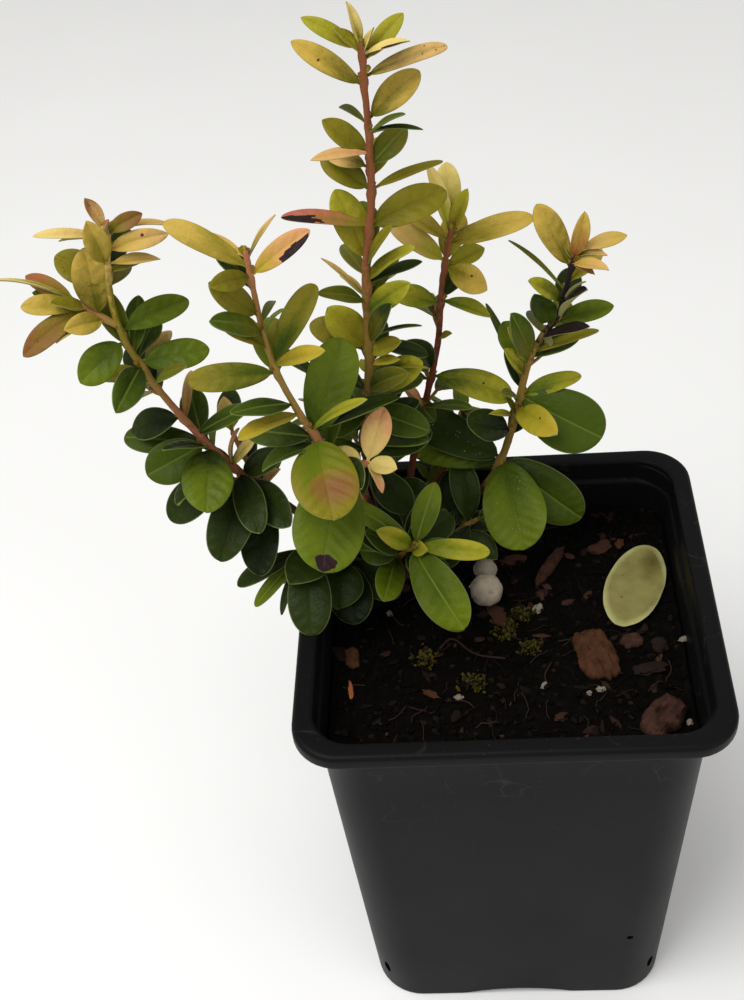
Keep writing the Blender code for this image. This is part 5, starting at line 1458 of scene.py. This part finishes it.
def grow_moss(chance):
    """Tufts of short sprigs."""
    moss = Pool()
    for x, y, reach in TUFTS:
        for _ in range(SPRIGS):
            out = Vector((chance.gauss(0, 0.4), chance.gauss(0, 0.4), 0)) * reach
            root = Vector((x + out.x, y + out.y, bed_height(x + out.x, y + out.y)))
            way = Vector((chance.uniform(-1, 1), chance.uniform(-1, 1), chance.uniform(0.5, 1.6)))
            way.normalize()
            size = chance.uniform(*SPRIG_SIZE)
            sprig = Leaf(root, way, way.orthogonal(), size, 0.4 * size)
            moss.add(*sprig.skin(), finish("leaf", "tuft", "olive", chance.randrange(3)))
    moss.piece("soil_moss", "foliage", "soil", sharp=30)


def make_chips(chance):
    """Flakes of bark with uneven edges and grain ridges."""
    for number, ((x, y, length, width, thick, turn), tone) in enumerate(zip(CHIPS, CHIP_TONES), 1):
        pool = Pool()
        here = Vector((x, y, SOIL_TOP + GAP + thick / 2))
        names = [finish("flake", tone, "umber", step) for step in (0, 0, 0, 1, 1, 2)]
        slab(pool, here, (length, width, thick), turn, 0.42, lambda along, beside: chance.choice(names),
             names[-1], chance, rough=0.2, ridge=0.32 * thick)
        pool.piece(f"bark_flake_{number}", "bark_chip", f"chip_{number}", sharp=50)


def make_beads(chance):
    """Chalky round grains, one with a small dark dimple."""
    for number, (x, y, radius) in enumerate(BEADS, 1):
        pool = Pool()
        here = Vector((x, y, SOIL_TOP + GAP + radius))
        sizes = (2 * radius,) * 3
        vertices, faces = lump(here, sizes, 0, chance, 26, 36, 1.0, 0.09)
        pit = (VIEW_POINT - here).normalized() + Vector((0.25, 0, -0.25))
        names = []
        for face in faces:
            middle = sum((vertices[i] for i in face), Vector()) / len(face)
            near = (middle - here).normalized().angle(pit.normalized())
            # The bead tone is an off-white taken darker, partly painted shade over the soil.
            names.append(finish("bead", "bead", "brown", 3 if near < 0.14 and number == 1 else 0))
        for vertex in vertices:
            near = (vertex - here).normalized().angle(pit.normalized())
            vertex -= (vertex - here) * 0.12 * math.exp(-(near / 0.16) ** 2)
        pool.add(vertices, faces, names)
        pool.piece(f"chalk_bead_{number}", "bead_coat", f"bead_{number}")


def make_fallen_leaf(chance):
    """The dished yellow leaf with its stain, pale rim and brown specks."""
    spec = FALLEN_LEAF
    pool = Pool()
    here = Vector((*spec["middle"], SOIL_TOP + GAP + spec["thick"]))
    sizes = (spec["length"], spec["width"], spec["thick"])

    def tone_at(along, beside):
        """Yellow-green, with a drab stain toward one end's far side, soft clouds and a pale rim."""
        edge = (math.hypot(along, beside * math.sqrt(1 - along * along / 2)) - 0.88) / 0.12
        if edge > 0:
            return finish("fallen", "fall", "rim", tone_step(0.7 * edge))
        stain = 1.1 - math.hypot((along - 0.62) / 0.5, (beside + 0.35) / 0.6)
        cloud = noise.noise(Vector((3 * along, 1.7 * beside, 5.0)))
        return finish("fallen", "fall", "stain", tone_step(max(0.0, stain) + 0.5 * max(0.0, cloud)))

    slab(pool, here, sizes, spec["turn"], 0.5, tone_at, finish("fallen", "fall"), chance, rough=0.02,
         ridge=0.04, dish=0.5)
    turn = Matrix.Rotation(math.radians(spec["turn"]), 3, "Z")
    for along, beside, size in FALLEN_SPECKS:
        spot = here + turn @ Vector((along, beside, 0.34))
        pool.add(*lump(spot, (size, 0.8 * size, 0.3), 0, chance, rings=4, sides=8), finish("fallen", "brown"))
    pool.piece("yellow_leaf", "yellow_leaf", "fallen_leaf", sharp=50)


def make_stage():
    """A plain pale floor, a soft key, a fill and an even pale surround."""
    size = FLOOR_HALF * MM
    mesh = bpy.data.meshes.new("floor")
    corners = [(-size, -size, 0), (size, -size, 0), (size, size, 0), (-size, size, 0)]
    mesh.from_pydata(corners, [], [(0, 1, 2, 3)])
    floor = bpy.data.objects.new("floor", mesh)
    mesh.materials.append(FINISHES[finish("floor", "floor")])
    bpy.context.scene.collection.objects.link(floor)
    for name, (place, wide, power) in LAMPS.items():
        lamp(name, Vector(place), wide, power)
    world = bpy.data.worlds.new("surround")
    world.use_nodes = True
    sky = world.node_tree.nodes["Background"]
    sky.inputs["Color"].default_value = SURROUND
    sky.inputs["Strength"].default_value = SURROUND_STRENGTH
    bpy.context.scene.world = world
    bpy.context.scene.view_settings.view_transform = "Standard"


def lamp(name, place, size, power):
    """A square soft light that faces the plant's foot."""
    light = bpy.data.lights.new(name, "AREA")
    light.size = size * MM
    light.energy = power
    made = bpy.data.objects.new(name, light)
    made.location = place * MM
    aim = LAMPS_AIM - place
    made.rotation_mode = "QUATERNION"
    made.rotation_quaternion = aim.to_track_quat("-Z", "Y")
    bpy.context.scene.collection.objects.link(made)


def make_camera():
    """The photograph's view: from above the front, rolled a few degrees."""
    back = VIEW_RIGHT.cross(VIEW_UP).normalized()
    camera = bpy.data.objects.new("camera", bpy.data.cameras.new("camera"))
    camera.data.lens = VIEW_LENS
    camera.data.sensor_width = 36
    camera.data.clip_start = 0.01
    turn = Matrix((VIEW_RIGHT, VIEW_UP, back)).transposed().to_4x4()
    camera.matrix_world = Matrix.Translation(VIEW_POINT * MM) @ turn
    bpy.context.scene.collection.objects.link(camera)
    bpy.context.scene.camera = camera


def main():
    chance = random.Random(SEED + 2)
    grow_plant()
    make_pot()
    make_soil(chance)
    make_chips(chance)
    make_beads(chance)
    make_fallen_leaf(chance)
    make_stage()
    make_camera()
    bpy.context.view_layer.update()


main()
